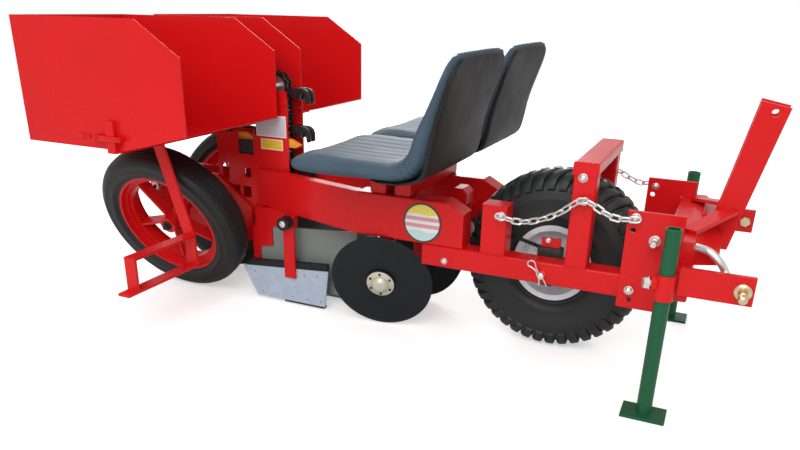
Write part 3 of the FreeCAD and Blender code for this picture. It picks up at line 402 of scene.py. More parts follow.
# ---- mesh making -------------------------------------------------------------------------------
def placed(name: str, data: bpy.types.ID) -> bpy.types.Object:
    """Makes an object and links it to the scene.

    Args:
        name: its name.
        data: its mesh, lamp or camera.

    Returns:
        The object.
    """
    made = bpy.data.objects.new(name, data)
    bpy.context.scene.collection.objects.link(made)
    return made


def evaluated(made: bpy.types.Object) -> bpy.types.Mesh:
    """Applies an object's modifiers to a mesh of its own and takes them off.

    Args:
        made: the object.

    Returns:
        The plain mesh.
    """
    view = bpy.context.evaluated_depsgraph_get()
    mesh = bpy.data.meshes.new_from_object(made.evaluated_get(view), depsgraph=view)
    made.modifiers.clear()
    return mesh


def reopened(mesh: bpy.types.Mesh) -> BMesh:
    """Opens a mesh, so that it can be added to.

    Args:
        mesh: the mesh, which stays as it is.

    Returns:
        Its open copy.
    """
    bm = bmesh.new()
    bm.from_mesh(mesh)
    return bm


def finished(bm: BMesh, name: str, bevel: float = 0.0,
             move: Matrix = STILL) -> bpy.types.Mesh:
    """Closes a mesh: merges doubles, rounds its sharp edges and points its faces outward.

    Args:
        bm: the mesh, which is freed.
        name: its name.
        bevel: how far sharp edges are rounded, or 0.
        move: where it goes.

    Returns:
        The finished mesh.
    """
    bmesh.ops.remove_doubles(bm, verts=bm.verts, dist=SAME_POINT)
    bmesh.ops.recalc_face_normals(bm, faces=bm.faces)
    if bevel:
        sharp = [edge for edge in bm.edges
                 if edge.is_manifold and edge.calc_face_angle(0.0) > BEVEL_ANGLE]
        bmesh.ops.bevel(bm, geom=sharp, offset=bevel, segments=2, profile=0.5, affect="EDGES",
                        clamp_overlap=True)
    bm.transform(move)
    bmesh.ops.recalc_face_normals(bm, faces=bm.faces)
    mesh = bpy.data.meshes.new(name)
    bm.to_mesh(mesh)
    bm.free()
    mesh.shade_smooth()
    mesh.set_sharp_from_angle(angle=SHARP_ANGLE)
    return mesh


def loft(bm: BMesh, rings: Sequence[list[Vector]], around: bool = False) -> None:
    """Skins rings that have as many points each.

    Args:
        bm: the mesh it adds to.
        rings: the rings in order.
        around: joins the last ring to the first, where otherwise both ends are closed.
    """
    rows = [[bm.verts.new(point) for point in ring] for ring in rings]
    pairs = list(zip(rows, rows[1:]))
    if around:
        pairs.append((rows[-1], rows[0]))
    else:
        bm.faces.new(rows[0])
        bm.faces.new(rows[-1])
    for first, second in pairs:
        for index, corner in enumerate(first):
            after = (index + 1) % len(first)
            bm.faces.new((corner, first[after], second[after], second[index]))


def prism(bm: BMesh, outline: Sequence[Pair], low: float, high: float) -> None:
    """Extrudes an outline of X and Z from one Y to another."""
    loft(bm, [[Vector((x, y, z)) for x, z in outline] for y in (low, high)])


def slab(bm: BMesh, x: Pair, y: Pair, z: Pair) -> None:
    """Adds a block between two places on each axis."""
    prism(bm, [(x[0], z[0]), (x[1], z[0]), (x[1], z[1]), (x[0], z[1])], *y)


def circle(radius: float, steps: int) -> list[Pair]:
    """Corners of a circle about zero."""
    turns = (2 * math.pi * step / steps for step in range(steps))
    return [(radius * math.cos(turn), radius * math.sin(turn)) for turn in turns]


def lathe(bm: BMesh, half: Sequence[Pair], steps: int) -> None:
    """Turns a profile about the Y axis.

    Args:
        bm: the mesh it adds to.
        half: radius and Y of the half with Y above zero, from one bead to the tread's middle.
        steps: corners of each ring.
    """
    profile = list(half) + [(r, -y) for r, y in reversed(half) if y > SAME_POINT]
    loft(bm, [[Vector((r * a, y, r * b)) for r, y in profile] for a, b in circle(1.0, steps)],
         around=True)


def turned(bm: BMesh, start: Sequence[float], aim: Sequence[float],
           profile: Sequence[Pair], sides: int = 24) -> None:
    """Turns a piece about a line, closed at both ends.

    Args:
        bm: the mesh it adds to.
        start: where the line starts.
        aim: its direction.
        profile: distance along the line and radius, in order.
        sides: corners of each ring, 6 for a nut.
    """
    foot, along = Vector(start), Vector(aim).normalized()
    across = along.orthogonal().normalized()
    other = along.cross(across)
    loft(bm, [[foot + along * reach + across * a + other * b for a, b in circle(radius, sides)]
              for reach, radius in profile])


def tube(bm: BMesh, path: Sequence[Vector], radius: float, sides: int,
         closed: bool = False) -> None:
    """Round bar along a path, whose frame is carried from point to point.

    Args:
        bm: the mesh it adds to.
        path: its points.
        radius: half its thickness.
        sides: corners of each ring.
        closed: joins its ends.
    """
    count = len(path)
    across, rings = None, []
    for index, point in enumerate(path):
        before = path[index - 1] if closed or index else point
        after = path[(index + 1) % count] if closed or index + 1 < count else point
        along = (after - before).normalized()
        across = along.orthogonal() if across is None else across - along * across.dot(along)
        across.normalize()
        other = along.cross(across)
        rings.append([point + across * a + other * b for a, b in circle(radius, sides)])
    loft(bm, rings, around=closed)


def smooth_path(corners: Sequence[Point], steps: int) -> list[Vector]:
    """Rounds a line off with a Catmull-Rom curve.

    Args:
        corners: the points that it passes.
        steps: its points for each span.

    Returns:
        The curve's points.
    """
    points = [Vector(corner) for corner in corners]
    last = len(points) - 1
    path = []
    for span in range(last):
        a, b, c, d = (points[min(max(span + shift, 0), last)] for shift in (-1, 0, 1, 2))
        for step in range(steps):
            t = step / steps
            path.append(0.5 * (2 * b + (c - a) * t + (2 * a - 5 * b + 4 * c - d) * t ** 2
                               + (3 * b - a - 3 * c + d) * t ** 3))
    return path + [points[-1]]


def two_arcs(reach: float, radius: float, steps: int) -> list[list[Pair]]:
    """Draws the round ends of a long oval about zero.

    Args:
        reach: from zero to each end's centre.
        radius: the ends' radius.
        steps: spans on each half turn.

    Returns:
        The points of the front end, then those of the back end.
    """
    ends = []
    for centre, start in ((reach, -math.pi / 2), (-reach, math.pi / 2)):
        turns = (start + math.pi * step / steps for step in range(steps + 1))
        ends.append([(centre + radius * math.cos(turn), radius * math.sin(turn)) for turn in turns])
    return ends


def line_mesh(path: Sequence[Vector], closed: bool = False) -> bpy.types.Mesh:
    """Makes a mesh of edges along a path.

    Args:
        path: its points.
        closed: joins its ends.

    Returns:
        The mesh.
    """
    edges = [(index, index + 1) for index in range(len(path) - 1)]
    if closed:
        edges.append((len(path) - 1, 0))
    mesh = bpy.data.meshes.new("line")
    mesh.from_pydata(path, edges, [])
    return mesh


# ---- finishes ----------------------------------------------------------------------------------
@dataclass(frozen=True)
class Finish:
    """A finish: its name, its main colour and what feeds each input of its surface."""

    name: str
    colour: Colour

    def inputs(self, shader: Shader) -> dict[str, Any]:
        """Values and Sockets for the surface's inputs, by name."""
        raise NotImplementedError

    def tint(self, factor: float, lift: float = 0.0) -> Colour:
        """The main colour made lighter or darker."""
        return tuple(c * factor + lift for c in self.colour)

    def build(self) -> bpy.types.Material:
        """Makes the material."""
        shader = Shader(self.name)
        return shader.surface(self.inputs(shader))


@dataclass(frozen=True)
class GlossPaint(Finish):
    """Enamel sprayed on steel, with faint orange peel, a little dust and rounded edges."""

    roughness: float = 0.27
    edge: float = 0.0016
    coat: float = 0.07

    def inputs(self, shader: Shader) -> dict[str, Any]:
        """Values and Sockets for the surface's inputs, by name."""
        cloud = shader.ramp(shader.noise(4.0, 4.0), 0.35, 0.75)
        dust = shader.ramp(shader.noise(38.0, 5.0, 0.65), 0.5, 0.85)
        paint = shader.blend(cloud * 0.45, self.colour, self.tint(0.8))
        return {"Base Color": shader.blend(dust * 0.12, paint, self.tint(0.7, 0.03)),
                "Roughness": dust * 0.08 + cloud * 0.05 + self.roughness,
                "Normal": shader.bump(shader.noise(150.0, 2.0), 0.0001, 0.18,
                                      shader.rounded_edges(self.edge)),
                "Coat Weight": self.coat, "Coat Roughness": 0.16, "Specular IOR Level": 0.20}


@dataclass(frozen=True)
class Rubber(Finish):
    """Tyre rubber, dull with a trace of dust."""

    roughness: float = 0.46
    dusty: float = 0.5
    specular: float = 0.34

    def inputs(self, shader: Shader) -> dict[str, Any]:
        """Values and Sockets for the surface's inputs, by name."""
        cloud = shader.ramp(shader.noise(9.0, 5.0, 0.6), 0.35, 0.8)
        return {"Base Color": shader.blend(cloud * self.dusty, self.colour, self.tint(1.9, 0.005)),
                "Roughness": cloud * 0.14 + self.roughness,
                "Normal": shader.bump(shader.noise(500.0, 2.0), 0.0002, 0.25),
                "Specular IOR Level": self.specular}


@dataclass(frozen=True)
class Vinyl(Finish):
    """Seat covering: fine leather grain, slightly shiny where it is stretched."""

    roughness: float = 0.52

    def inputs(self, shader: Shader) -> dict[str, Any]:
        """Values and Sockets for the surface's inputs, by name."""
        rub = shader.ramp(shader.noise(7.0, 4.0, 0.55), 0.3, 0.8)
        return {"Base Color": shader.blend(rub * 0.5, self.colour, self.tint(1.35, 0.004)),
                "Roughness": rub * 0.10 + self.roughness,
                "Normal": shader.bump(shader.cells(340.0, "Distance"), 0.00035, 0.35),
                "Specular IOR Level": 0.15}


@dataclass(frozen=True)
class Metal(Finish):
    """Bare or plated metal with fine mottling."""

    roughness: float = 0.34
    metallic: float = 0.9
    specular: float = 0.5

    def inputs(self, shader: Shader) -> dict[str, Any]:
        """Values and Sockets for the surface's inputs, by name."""
        mottle = shader.ramp(shader.noise(35.0, 6.0, 0.6), 0.3, 0.75)
        return {"Base Color": shader.blend(mottle * 0.45, self.colour, self.tint(0.74)),
                "Metallic": self.metallic, "Roughness": mottle * 0.16 + self.roughness,
                "Normal": shader.bump(shader.noise(200.0, 3.0), 0.0001, 0.25,
                                      shader.rounded_edges(0.0008)),
                "Specular IOR Level": self.specular}


@dataclass(frozen=True)
class Galvanised(Finish):
    """Zinc-dipped sheet with its spangle of crystals."""

    def inputs(self, shader: Shader) -> dict[str, Any]:
        """Values and Sockets for the surface's inputs, by name."""
        tone = shader.node("ShaderNodeSeparateColor", {}, {0: shader.cells(55.0, "Color")})
        return {"Base Color": shader.blend(tone * 0.5 + shader.noise(30.0, 3.0) * 0.3, self.colour,
                                           self.tint(0.8)),
                "Metallic": 0.35, "Roughness": tone * 0.16 + 0.4,
                "Normal": shader.rounded_edges(0.001)}


@dataclass(frozen=True)
class Badge(Finish):
    """Bare round badge: a dark ring round three plain bands."""

    centre: Point
    radius: float

    def inputs(self, shader: Shader) -> dict[str, Any]:
        """Values and Sockets for the surface's inputs, by name."""
        x, _, z = shader.axes()
        right, up = x - self.centre[0], z - self.centre[2]
        reach = (right * right + up * up) * (1.0 / self.radius ** 2)
        waved = up + (right * 90.0).sine() * 0.002
        colour = shader.blend(shader.ramp(waved, 0.024, 0.026), self.colour, (0.80, 0.66, 0.09))
        colour = shader.blend(shader.ramp(waved, -0.026, -0.024), (0.50, 0.68, 0.70), colour)
        for middle in (-0.009, 0.012):
            band = shader.ramp((up - middle).absolute(), 0.0062, 0.0052)
            colour = shader.blend(band * 0.75, colour, (0.66, 0.12, 0.20))
        return {"Base Color": shader.blend(shader.ramp(reach, 0.80, 0.84), colour,
                                           (0.03, 0.035, 0.02)),
                "Roughness": 0.32}


@dataclass(frozen=True)
class BlankPlate(Finish):
    """Printed plate left blank, with a pale border."""

    border: Colour
    centre: Point
    half: Pair
    edge: float = 0.004
    blur: float = 0.0004

    def inputs(self, shader: Shader) -> dict[str, Any]:
        """Values and Sockets for the surface's inputs, by name."""
        x, _, z = shader.axes()
        inside = [shader.ramp((value - middle).absolute(), half - self.edge + self.blur,
                              half - self.edge)
                  for value, middle, half in ((x, self.centre[0], self.half[0]),
                                              (z, self.centre[2], self.half[1]))]
        smear = shader.noise(40.0, 4.0)
        face = shader.blend(smear * 0.3, self.colour, self.tint(0.8))
        return {"Base Color": shader.blend(inside[0] * inside[1], self.border, face),
                "Roughness": smear * 0.1 + 0.35}


BADGE_PLACE, BADGE_RADIUS = (0.154, -0.205, 0.379), 0.060
SILVER_PLACE, SILVER_HALF = (-0.4605, -0.050, 0.586), (0.0585, 0.035)
YELLOW_PLACE, YELLOW_HALF = (-0.4600, -0.050, 0.526), (0.0430, 0.018)
FINISHES = {
    "red_paint": GlossPaint("red_enamel", (0.64, 0.0075, 0.009)),
    "green_paint": GlossPaint("green_enamel", (0.012, 0.100, 0.042), 0.3),
    "grey_paint": GlossPaint("grey_enamel", (0.235, 0.27, 0.25), 0.42, coat=0.0),
    "tyre_rubber": Rubber("tyre_rubber", (0.0180, 0.0200, 0.0200)),
    "packing_rubber": Rubber("packing_rubber", (0.0110, 0.0115, 0.0115), 0.42, 0.35),
    "black_rubber": Rubber("black_rubber", (0.008, 0.008, 0.009), 0.42, 0.2),
    "seat_shell": Rubber("seat_shell", (0.0150, 0.0146, 0.0150), 0.5, 0.3, 0.20),
    "guide_orange": Rubber("guide_orange", (0.80, 0.30, 0.03), 0.4, 0.2),
    "seat_vinyl": Vinyl("seat_vinyl", (0.052, 0.081, 0.110)),
    "silver_paint": Metal("silver_paint", (0.80, 0.82, 0.85), 0.42, 0.15),
    "zinc_plate": Metal("zinc_plate", (0.80, 0.80, 0.77), 0.30),
    "disc_black": Metal("disc_black", (0.009, 0.011, 0.013), 0.40, 0.1, 0.3),
    "yellow_zinc": Metal("yellow_zinc", (0.72, 0.60, 0.36), 0.25),
    "hub_cream": Metal("hub_cream", (0.66, 0.62, 0.50), 0.35, 0.5),
    "dark_steel": Metal("dark_steel", (0.035, 0.034, 0.034), 0.4, 0.5),
    "galvanised_steel": Galvanised("galvanised_steel", (0.50, 0.60, 0.72)),
    "badge": Badge("badge_print", (0.80, 0.77, 0.74), BADGE_PLACE, BADGE_RADIUS),
    "silver_plate": BlankPlate("silver_plate", (0.52, 0.52, 0.56), (0.68, 0.68, 0.70),
                               SILVER_PLACE, SILVER_HALF),
    "yellow_plate": BlankPlate("yellow_plate", (0.74, 0.50, 0.02), (0.78, 0.72, 0.45),
                               YELLOW_PLACE, YELLOW_HALF),
}


# ---- fasteners and the shop --------------------------------------------------------------------
class Head(Enum):
    """Kinds of fastener for size 1, an M12 on a face that looks along Z.

    Each turned form that makes up the end that shows is its sides, then its profile.
    """

    DOME = ((24, ((0.0, 0.0130), (0.0040, 0.0130), (0.0048, 0.0122))),
            (24, ((0.0040, 0.0108), (0.0075, 0.0102), (0.0105, 0.0080), (0.0122, 0.0045),
                  (0.0127, 0.0015))))
    HEX = ((24, ((0.0, 0.0130), (0.0040, 0.0130), (0.0046, 0.0124))),
           (6, ((0.0040, 0.0104), (0.0108, 0.0104), (0.0122, 0.0092))))
    NUT = ((24, ((0.0, 0.0130), (0.0040, 0.0130), (0.0046, 0.0124))),
           (6, ((0.0040, 0.0095), (0.0050, 0.0106), (0.0135, 0.0106), (0.0145, 0.0095))),
           (16, ((0.0130, 0.0060), (0.0200, 0.0060), (0.0212, 0.0048))))
    STUD = ((24, ((0.0, 0.0150), (0.0040, 0.0150), (0.0048, 0.0142))),
            (6, ((0.0040, 0.0115), (0.0052, 0.0128), (0.0190, 0.0128), (0.0202, 0.0115))),
            (16, ((0.0190, 0.0085), (0.0400, 0.0085), (0.0420, 0.0068))))
    RIVET = ((12, ((0.0, 0.0046), (0.0020, 0.0046), (0.0032, 0.0036), (0.0038, 0.0014))),)

    def form(self) -> bpy.types.Mesh:
        """Makes the head, its seat a little under the face.

        Returns:
            Its mesh.
        """
        bm = bmesh.new()
        for sides, profile in self.value:
            turned(bm, (0.0, 0.0, -0.0015), (0.0, 0.0, 1.0), profile, sides)
        return finished(bm, self.name.lower())


@dataclass(frozen=True)
class Fastener:
    """One fastener: where its seat is, where it points and how large it is."""

    place: Point
    aim: Point
    size: float


def both_sides(size: float, *places: Point, inward: bool = False) -> list[Fastener]:
    """Fasteners of one size at places on the right and mirrored on the left.

    Args:
        size: how large they are.
        *places: their seats on the right.
        inward: aims them at the middle plane, where otherwise they point away from it.

    Returns:
        The fasteners.
    """
    aim = -1.0 if inward else 1.0
    return [Fastener((x, -side.value * y, z), (0.0, side.value * aim, 0.0), size)
            for x, y, z in places for side in Side]


@dataclass
class Shop:
    """Finishes by slot, the trees, and what every piece has in common."""

    finishes: dict[str, bpy.types.Material]

    def __post_init__(self) -> None:
        """Builds the trees once."""
        self.ring = RingTree()
        self.scatter = ScatterTree()
        self.chain = LinkTree("AUTO")
        self.roller_chain = LinkTree("Y")

    def made(self, name: str, bm: BMesh, finish: str, bevel: float = 0.0,
             move: Matrix = STILL) -> bpy.types.Object:
        """Makes an object of an open mesh.

        Args:
            name: the piece's name.
            bm: its mesh, which is freed.
            finish: the name of its finish.
            bevel: how far sharp edges are rounded, or 0.
            move: where the mesh goes in the part's frame.

        Returns:
            The object.
        """
        mesh = finished(bm, name, bevel, move)
        mesh.materials.clear()
        mesh.materials.append(self.finishes[finish])
        LOG.info("%s: %d faces", name, len(mesh.polygons))
        return placed(name, mesh)

    def piece(self, name: str, bm: BMesh, finish: str, body: str,
              stands_for: Sequence[str] = (), slot: str = "", bevel: float = 0.0,
              move: Matrix = STILL) -> bpy.types.Object:
        """Makes an object of an open mesh and lets it ride on its body.

        Args:
            name: the piece's name.
            bm: its mesh, which is freed.
            finish: the name of its finish.
            body: the body it moves with.
            stands_for: nodes that it replaces.
            slot: the record's slot, where the finish has another name; not used.
            bevel: how far sharp edges are rounded, or 0.
            move: where the mesh goes in the part's frame.

        Returns:
            The object.
        """
        made = self.made(name, bm, finish, bevel, move)
        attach(made, body)
        if stands_for:
            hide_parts(*stands_for)
        (slot or finish) in SLOTS.values()
        return made

    def repeated(self, bm: BMesh, count: int) -> BMesh:
        """Repeats an open mesh, which is freed, a number of times round the Y axis."""
        return self.ring.run(finished(bm, "repeated"), {"Count": count})

    def fasteners(self, name: str, head: Head, body: str, finish: str,
                  items: Sequence[Fastener], slot: str = "") -> None:
        """Sets a head at each place and joins them into one piece.

        Args:
            name: the piece's name.
            head: their kind.
            body: the body they move with.
            finish: the name of their finish.
            items: the fasteners.
            slot: the record's slot, where the finish has another name.
        """
        mesh = bpy.data.meshes.new(name)
        mesh.from_pydata([item.place for item in items], [], [])
        mesh.attributes.new("aim", "FLOAT_VECTOR", "POINT")
        mesh.attributes.new("size", "FLOAT", "POINT")
        for index, item in enumerate(items):
            mesh.attributes["aim"].data[index].vector = item.aim
            mesh.attributes["size"].data[index].value = item.size
        self.piece(name, self.scatter.run(mesh, {"Piece": head.form()}), finish, body, slot=slot)


# ---- seats -------------------------------------------------------------------------------------
@dataclass
class Seats:
    """Two moulded seats that face the trays, each a padded cover with a dark shell behind it."""

    shop: Shop
    half_width: float = 0.226
    middle_y: float = 0.238
    pan_corner: float = 0.042
    back_corner: float = 0.060
    corners: int = 40
    flare: float = 0.009
    flare_from: float = 0.76
    waist: float = 0.005
    waist_height: float = 0.68
    hollow: float = 0.008
    hollow_height: float = 0.69
    top_from: float = 0.80
    crown: float = 0.009
    face: Sequence[Pair] = ((-0.148, 0.590), (-0.07, 0.595), (0.05, 0.592), (0.14, 0.592),
                            (0.190, 0.612), (0.222, 0.680), (0.263, 0.770), (0.303, 0.868))
    rear: Sequence[Pair] = ((-0.150, 0.545), (-0.06, 0.541), (0.07, 0.541), (0.184, 0.543),
                            (0.241, 0.571), (0.267, 0.662), (0.293, 0.762), (0.320, 0.862))
    skin: Sequence[Pair] = ((0.095, 0.5390), (0.125, 0.5385), (0.160, 0.5385), (0.193, 0.5405),
                            (0.250, 0.5660), (0.276, 0.660), (0.302, 0.760), (0.3255, 0.847))
    pleats_y: Sequence[float] = (-0.120, -0.072, -0.024, 0.024, 0.072, 0.120)
    pleat_depth: float = 0.0014
    pleat_width: float = 0.0065
    pleated: Pair = (-0.105, 0.830)
    fade: float = 0.02
    seam: Pair = (0.74, 0.028)
    bend: Pair = (0.190, 0.600)
    fold_pitch: float = 0.017
    swell: float = 0.005
    voxel: float = 0.007
    pressure: float = 4.0
    blown_frames: int = 20
    line_steps: int = 50

    def build(self) -> None:
        """Makes both seats from one cover and one shell."""
        cover, shell = self._cover(), self._shell()
        for side in Side:
            move = Matrix.Translation((0.0, side.value * self.middle_y, 0.0))
            made = self.shop.piece(f"seat_cover_{side.word}", reopened(cover), "seat_vinyl",
                                   "frame", [f"seat_cushion_{side.word}"], move=move)
            self.shop.piece(f"seat_back_shell_{side.word}", reopened(shell), "seat_shell", "frame",
                            [f"seat_shell_{side.word}"], slot="black_rubber", move=move)

    def _stations(self) -> list[float]:
        """Chooses places along the lines, close together at both ends.

        Returns:
            The places, where 1 is the second corner.
        """
        ends = [0.004, 0.03, 0.08, 0.15, 0.25, 0.4, 0.6, 0.8]
        last = len(self.face) - 1.0
        middle = [1.0 + step / 6 for step in range(31)]
        return ends + middle + [last - end for end in reversed(ends)]

    def _place(self, line: Sequence[Pair], station: float) -> Vector:
        """Point on the smooth line through some corners."""
        path = smooth_path([(x, 0.0, z) for x, z in line], self.line_steps)
        return path[min(round(station * self.line_steps), len(path) - 1)]

    def _spread(self, height: float) -> float:
        """What the half width gains at a height: a waist, then a flare towards the top."""
        return (self.flare * max(height - self.flare_from, 0.0) / 0.10
                - self.waist * bell(height, self.waist_height, 0.07))

    def _forward(self, height: float) -> float:
        """How far the back's sides stand before its middle; they curl back at the top."""
        curl = 0.45 * max(height - self.top_from, 0.0) / 0.065
        return self.hollow * (bell(height, self.hollow_height, 0.075) - curl)

    def _wrap(self, front: Sequence[Pair], back: Sequence[Pair], half: float, squareness: float,
              dish: float) -> BMesh:
        """Closed form between two lines, its corners rounded in plan.

        Args:
            front: the line of its face.
            back: the line of its rear.
            half: half its width.
            squareness: 1 is an oval section, less is squarer.
            dish: how far the face sinks in its middle.

        Returns:
            The open mesh.
        """
        bm = bmesh.new()
        last = len(front) - 1.0
        ends = [self._place(front, t).lerp(self._place(back, t), 0.5) for t in (0.0, last)]
        rings = []
        for station in self._stations():
            upper, lower = self._place(front, station), self._place(back, station)
            middle = upper.lerp(lower, 0.5)
            width, thick = half + self._spread(middle.z), 1.0
            for end, corner in zip(ends, (self.pan_corner, self.back_corner)):
                reach = (middle - end).length
                if reach < corner:
                    width -= corner - math.sqrt(corner ** 2 - (corner - reach) ** 2)
                roll = (upper - lower).length * 0.5
                if reach < roll:
                    thick = math.sqrt(max(1.0 - (1.0 - reach / roll) ** 2, 0.0004))
            facing = (upper - lower).normalized()
            ring = []
            for a, b in circle(1.0, self.corners):
                u = math.copysign(abs(a) ** squareness, a)
                v = math.copysign(abs(b) ** squareness, b) * thick
                point = middle + (upper - lower) * 0.5 * v
                if b > 0.0:
                    point -= facing * dish * thick * max(1.0 - (u / 0.8) ** 2, 0.0)
                point += facing * self._forward(middle.z) * (u ** 2 - 0.35)
                rise = (self.crown * max(middle.z - self.top_from, 0.0) / 0.06
                        * (1.0 - (u * width / half) ** 2))
                ring.append(point + Vector((0.0, u * width, rise)))
            rings.append(ring)
        loft(bm, rings)
        return bm

    def _cover(self) -> bpy.types.Mesh:
        """Makes the padded cover: swollen by a simulation, then pleated and creased.

        Returns:
            Its mesh about the seat's own middle.
        """
        mesh = finished(self._wrap(self.face, self.rear, self.half_width - 0.003, 0.56, 0.008),
                        "seat_cover")
        mesh = self._swollen(mesh)
        bm = reopened(mesh)
        bm.normal_update()
        for vertex in bm.verts:
            vertex.co -= vertex.normal * self._sink(vertex.co, vertex.normal)
        return finished(bm, "seat_cover")

    def _swollen(self, mesh: bpy.types.Mesh) -> bpy.types.Mesh:
        """Lets cloth blow the cover up, within a cap, and subdivides it.

        Args:
            mesh: the cover's smooth form.

        Returns:
            The swollen mesh.
        """
        scene = bpy.context.scene
        pad = placed("pad", mesh)
        remesh = pad.modifiers.new("remesh", "REMESH")
        remesh.mode = "VOXEL"
        remesh.voxel_size = self.voxel
        pad.data = evaluated(pad)
        start = [vertex.co.copy() for vertex in pad.data.vertices]
        cloth = pad.modifiers.new("cloth", "CLOTH")
        cloth.settings.use_pressure = True
        cloth.settings.uniform_pressure_force = self.pressure
        cloth.settings.effector_weights.gravity = 0.0
        for frame_number in range(1, self.blown_frames + 1):
            scene.frame_set(frame_number)
        blown = evaluated(pad)
        scene.frame_set(1)
        for vertex, rest in zip(blown.vertices, start):
            shift = vertex.co - rest
            if shift.length > self.swell:
                vertex.co = rest + shift.normalized() * self.swell
        pad.data = blown
        finer = pad.modifiers.new("finer", "SUBSURF")
        finer.levels = finer.render_levels = 1
        result = evaluated(pad)
        bpy.data.objects.remove(pad)
        return result

    def _sink(self, place: Vector, normal: Vector) -> float:
        """Adds up the pleats, the border seam and the creases at a point.

        Args:
            place: the point.
            normal: where the cover faces there.

        Returns:
            How far they press the cover in.
        """
        across = abs(place.y) / self.half_width
        facing = max(normal.z, -normal.x, 0.0)
        deep = 0.0
        if facing > 0.6:
            inside = (clamped((place.x - self.pleated[0]) / self.fade)
                      * clamped((self.pleated[1] - place.z) / self.fade))
            deep = inside * sum(bell(place.y, line, self.pleat_width) for line in self.pleats_y)
        deep += 0.5 * facing * bell(across, *self.seam)
        along = (place.x - self.bend[0]) * 0.80 + (place.z - self.bend[1]) * 0.60
        edge = clamped((across - 0.72) / 0.10)
        fold = max(math.cos(along * 2 * math.pi / self.fold_pitch - across * 2.0), 0.0) ** 5
        return self.pleat_depth * (min(deep, 1.2) + 2.6 * edge * fold * bell(along, 0.0, 0.030))

    def _shell(self) -> bpy.types.Mesh:
        """The dark shell behind the back, a thin panel a little proud of the cover."""
        inner = [(x - 0.012, z + 0.006) for x, z in self.skin]
        return finished(self._wrap(inner, self.skin, self.half_width - 0.021, 0.30, 0.0),
                        "seat_back_shell")


# ---- wheels ------------------------------------------------------------------------------------
RIGHTWARD: Point = (0.0, -1.0, 0.0)


@dataclass
class GaugeWheel:
    """Lugged tyre on a silver rim that carries the front of the machine."""

    shop: Shop
    centre: Point = (0.514, 0.0, 0.270)
    body_half: Sequence[Pair] = (
        (0.1045, 0.052), (0.106, 0.062), (0.112, 0.0665), (0.118, 0.0665), (0.121, 0.070),
        (0.126, 0.071), (0.129, 0.0755), (0.142, 0.0800), (0.146, 0.0825), (0.150, 0.0825),
        (0.153, 0.0815), (0.170, 0.0838), (0.190, 0.0838), (0.194, 0.0848), (0.198, 0.0835),
        (0.214, 0.0800), (0.230, 0.0745), (0.243, 0.0640), (0.253, 0.0470), (0.2600, 0.0240),
        (0.2612, 0.0))
    lug_line: Sequence[Pair] = ((0.2690, 0.003), (0.2690, 0.026), (0.2672, 0.044), (0.2615, 0.060),
                                (0.2515, 0.0725), (0.2390, 0.0795), (0.2250, 0.0825))
    lug_root: Sequence[Pair] = ((0.2590, 0.002), (0.2585, 0.024), (0.2555, 0.041), (0.2490, 0.055),
                                (0.2390, 0.066), (0.2290, 0.073), (0.2180, 0.077))
    lug_count: int = 42
    lug_half: float = 0.0138
    lug_slant: float = 0.30
    lug_reach: float = 0.26
    lug_foot: float = 1.25
    lug_flat: float = 0.72
    lug_edge: float = 0.003
    steps: int = 120
    bolt: Sequence[Pair] = ((0.0, 0.008), (0.005, 0.008), (0.005, 0.0075), (0.010, 0.0072),
                            (0.011, 0.0040))
    bolt_place: Point = (0.0, -0.013, 0.060)
    bolt_count: int = 5
    valve_radius: float = 0.0045
    valve: Sequence[Point] = ((0.090, -0.010, 0.0), (0.092, -0.030, 0.0), (0.086, -0.050, 0.0))

    def build(self) -> None:
        """Makes the tyre with its lugs, the hub's bolts and the valve."""
        move = Matrix.Translation(self.centre)
        bm = self.shop.repeated(self._lugs(), self.lug_count)
        lathe(bm, self.body_half, self.steps)
        self.shop.piece("gauge_wheel_tyre", bm, "tyre_rubber", "gauge_wheel", ["gauge_tyre"],
                        move=move)
        bm = bmesh.new()
        turned(bm, self.bolt_place, RIGHTWARD, self.bolt, 6)
        self.shop.piece("gauge_wheel_hub_bolts", self.shop.repeated(bm, self.bolt_count),
                        "zinc_plate", "gauge_wheel", move=move)
        bm = bmesh.new()
        tube(bm, smooth_path(self.valve, 6), self.valve_radius, 8)
        self.shop.piece("gauge_wheel_valve", bm, "black_rubber", "gauge_wheel", move=move)

    def _lugs(self) -> BMesh:
        """Makes one slanting lug on each half of the tread, half a pitch apart.

        Returns:
            The open mesh, to be repeated round the wheel.
        """
        bm = bmesh.new()
        for half, turn in ((1.0, 0.0), (-1.0, math.pi / self.lug_count)):
            rings = []
            for (top_r, top_y), (root_r, root_y) in zip(self.lug_line, self.lug_root):
                slant = turn + self.lug_slant * top_y / self.lug_reach
                wide = self.lug_half * (1.0 - 2.4 * max(top_y - 0.05, 0.0) / self.lug_reach)
                flat_y, edge_r = top_y - 0.001, top_r - self.lug_edge
                ring = []
                for radius, y, reach in (
                        (root_r, root_y, -self.lug_foot), (edge_r, top_y, -1.0),
                        (top_r, flat_y, -self.lug_flat), (top_r, flat_y, self.lug_flat),
                        (edge_r, top_y, 1.0), (root_r, root_y, self.lug_foot)):
                    angle = slant + reach * wide / radius
                    ring.append(Vector((radius * math.cos(angle), half * y,
                                        radius * math.sin(angle))))
                rings.append(ring)
            loft(bm, rings)
        return bm


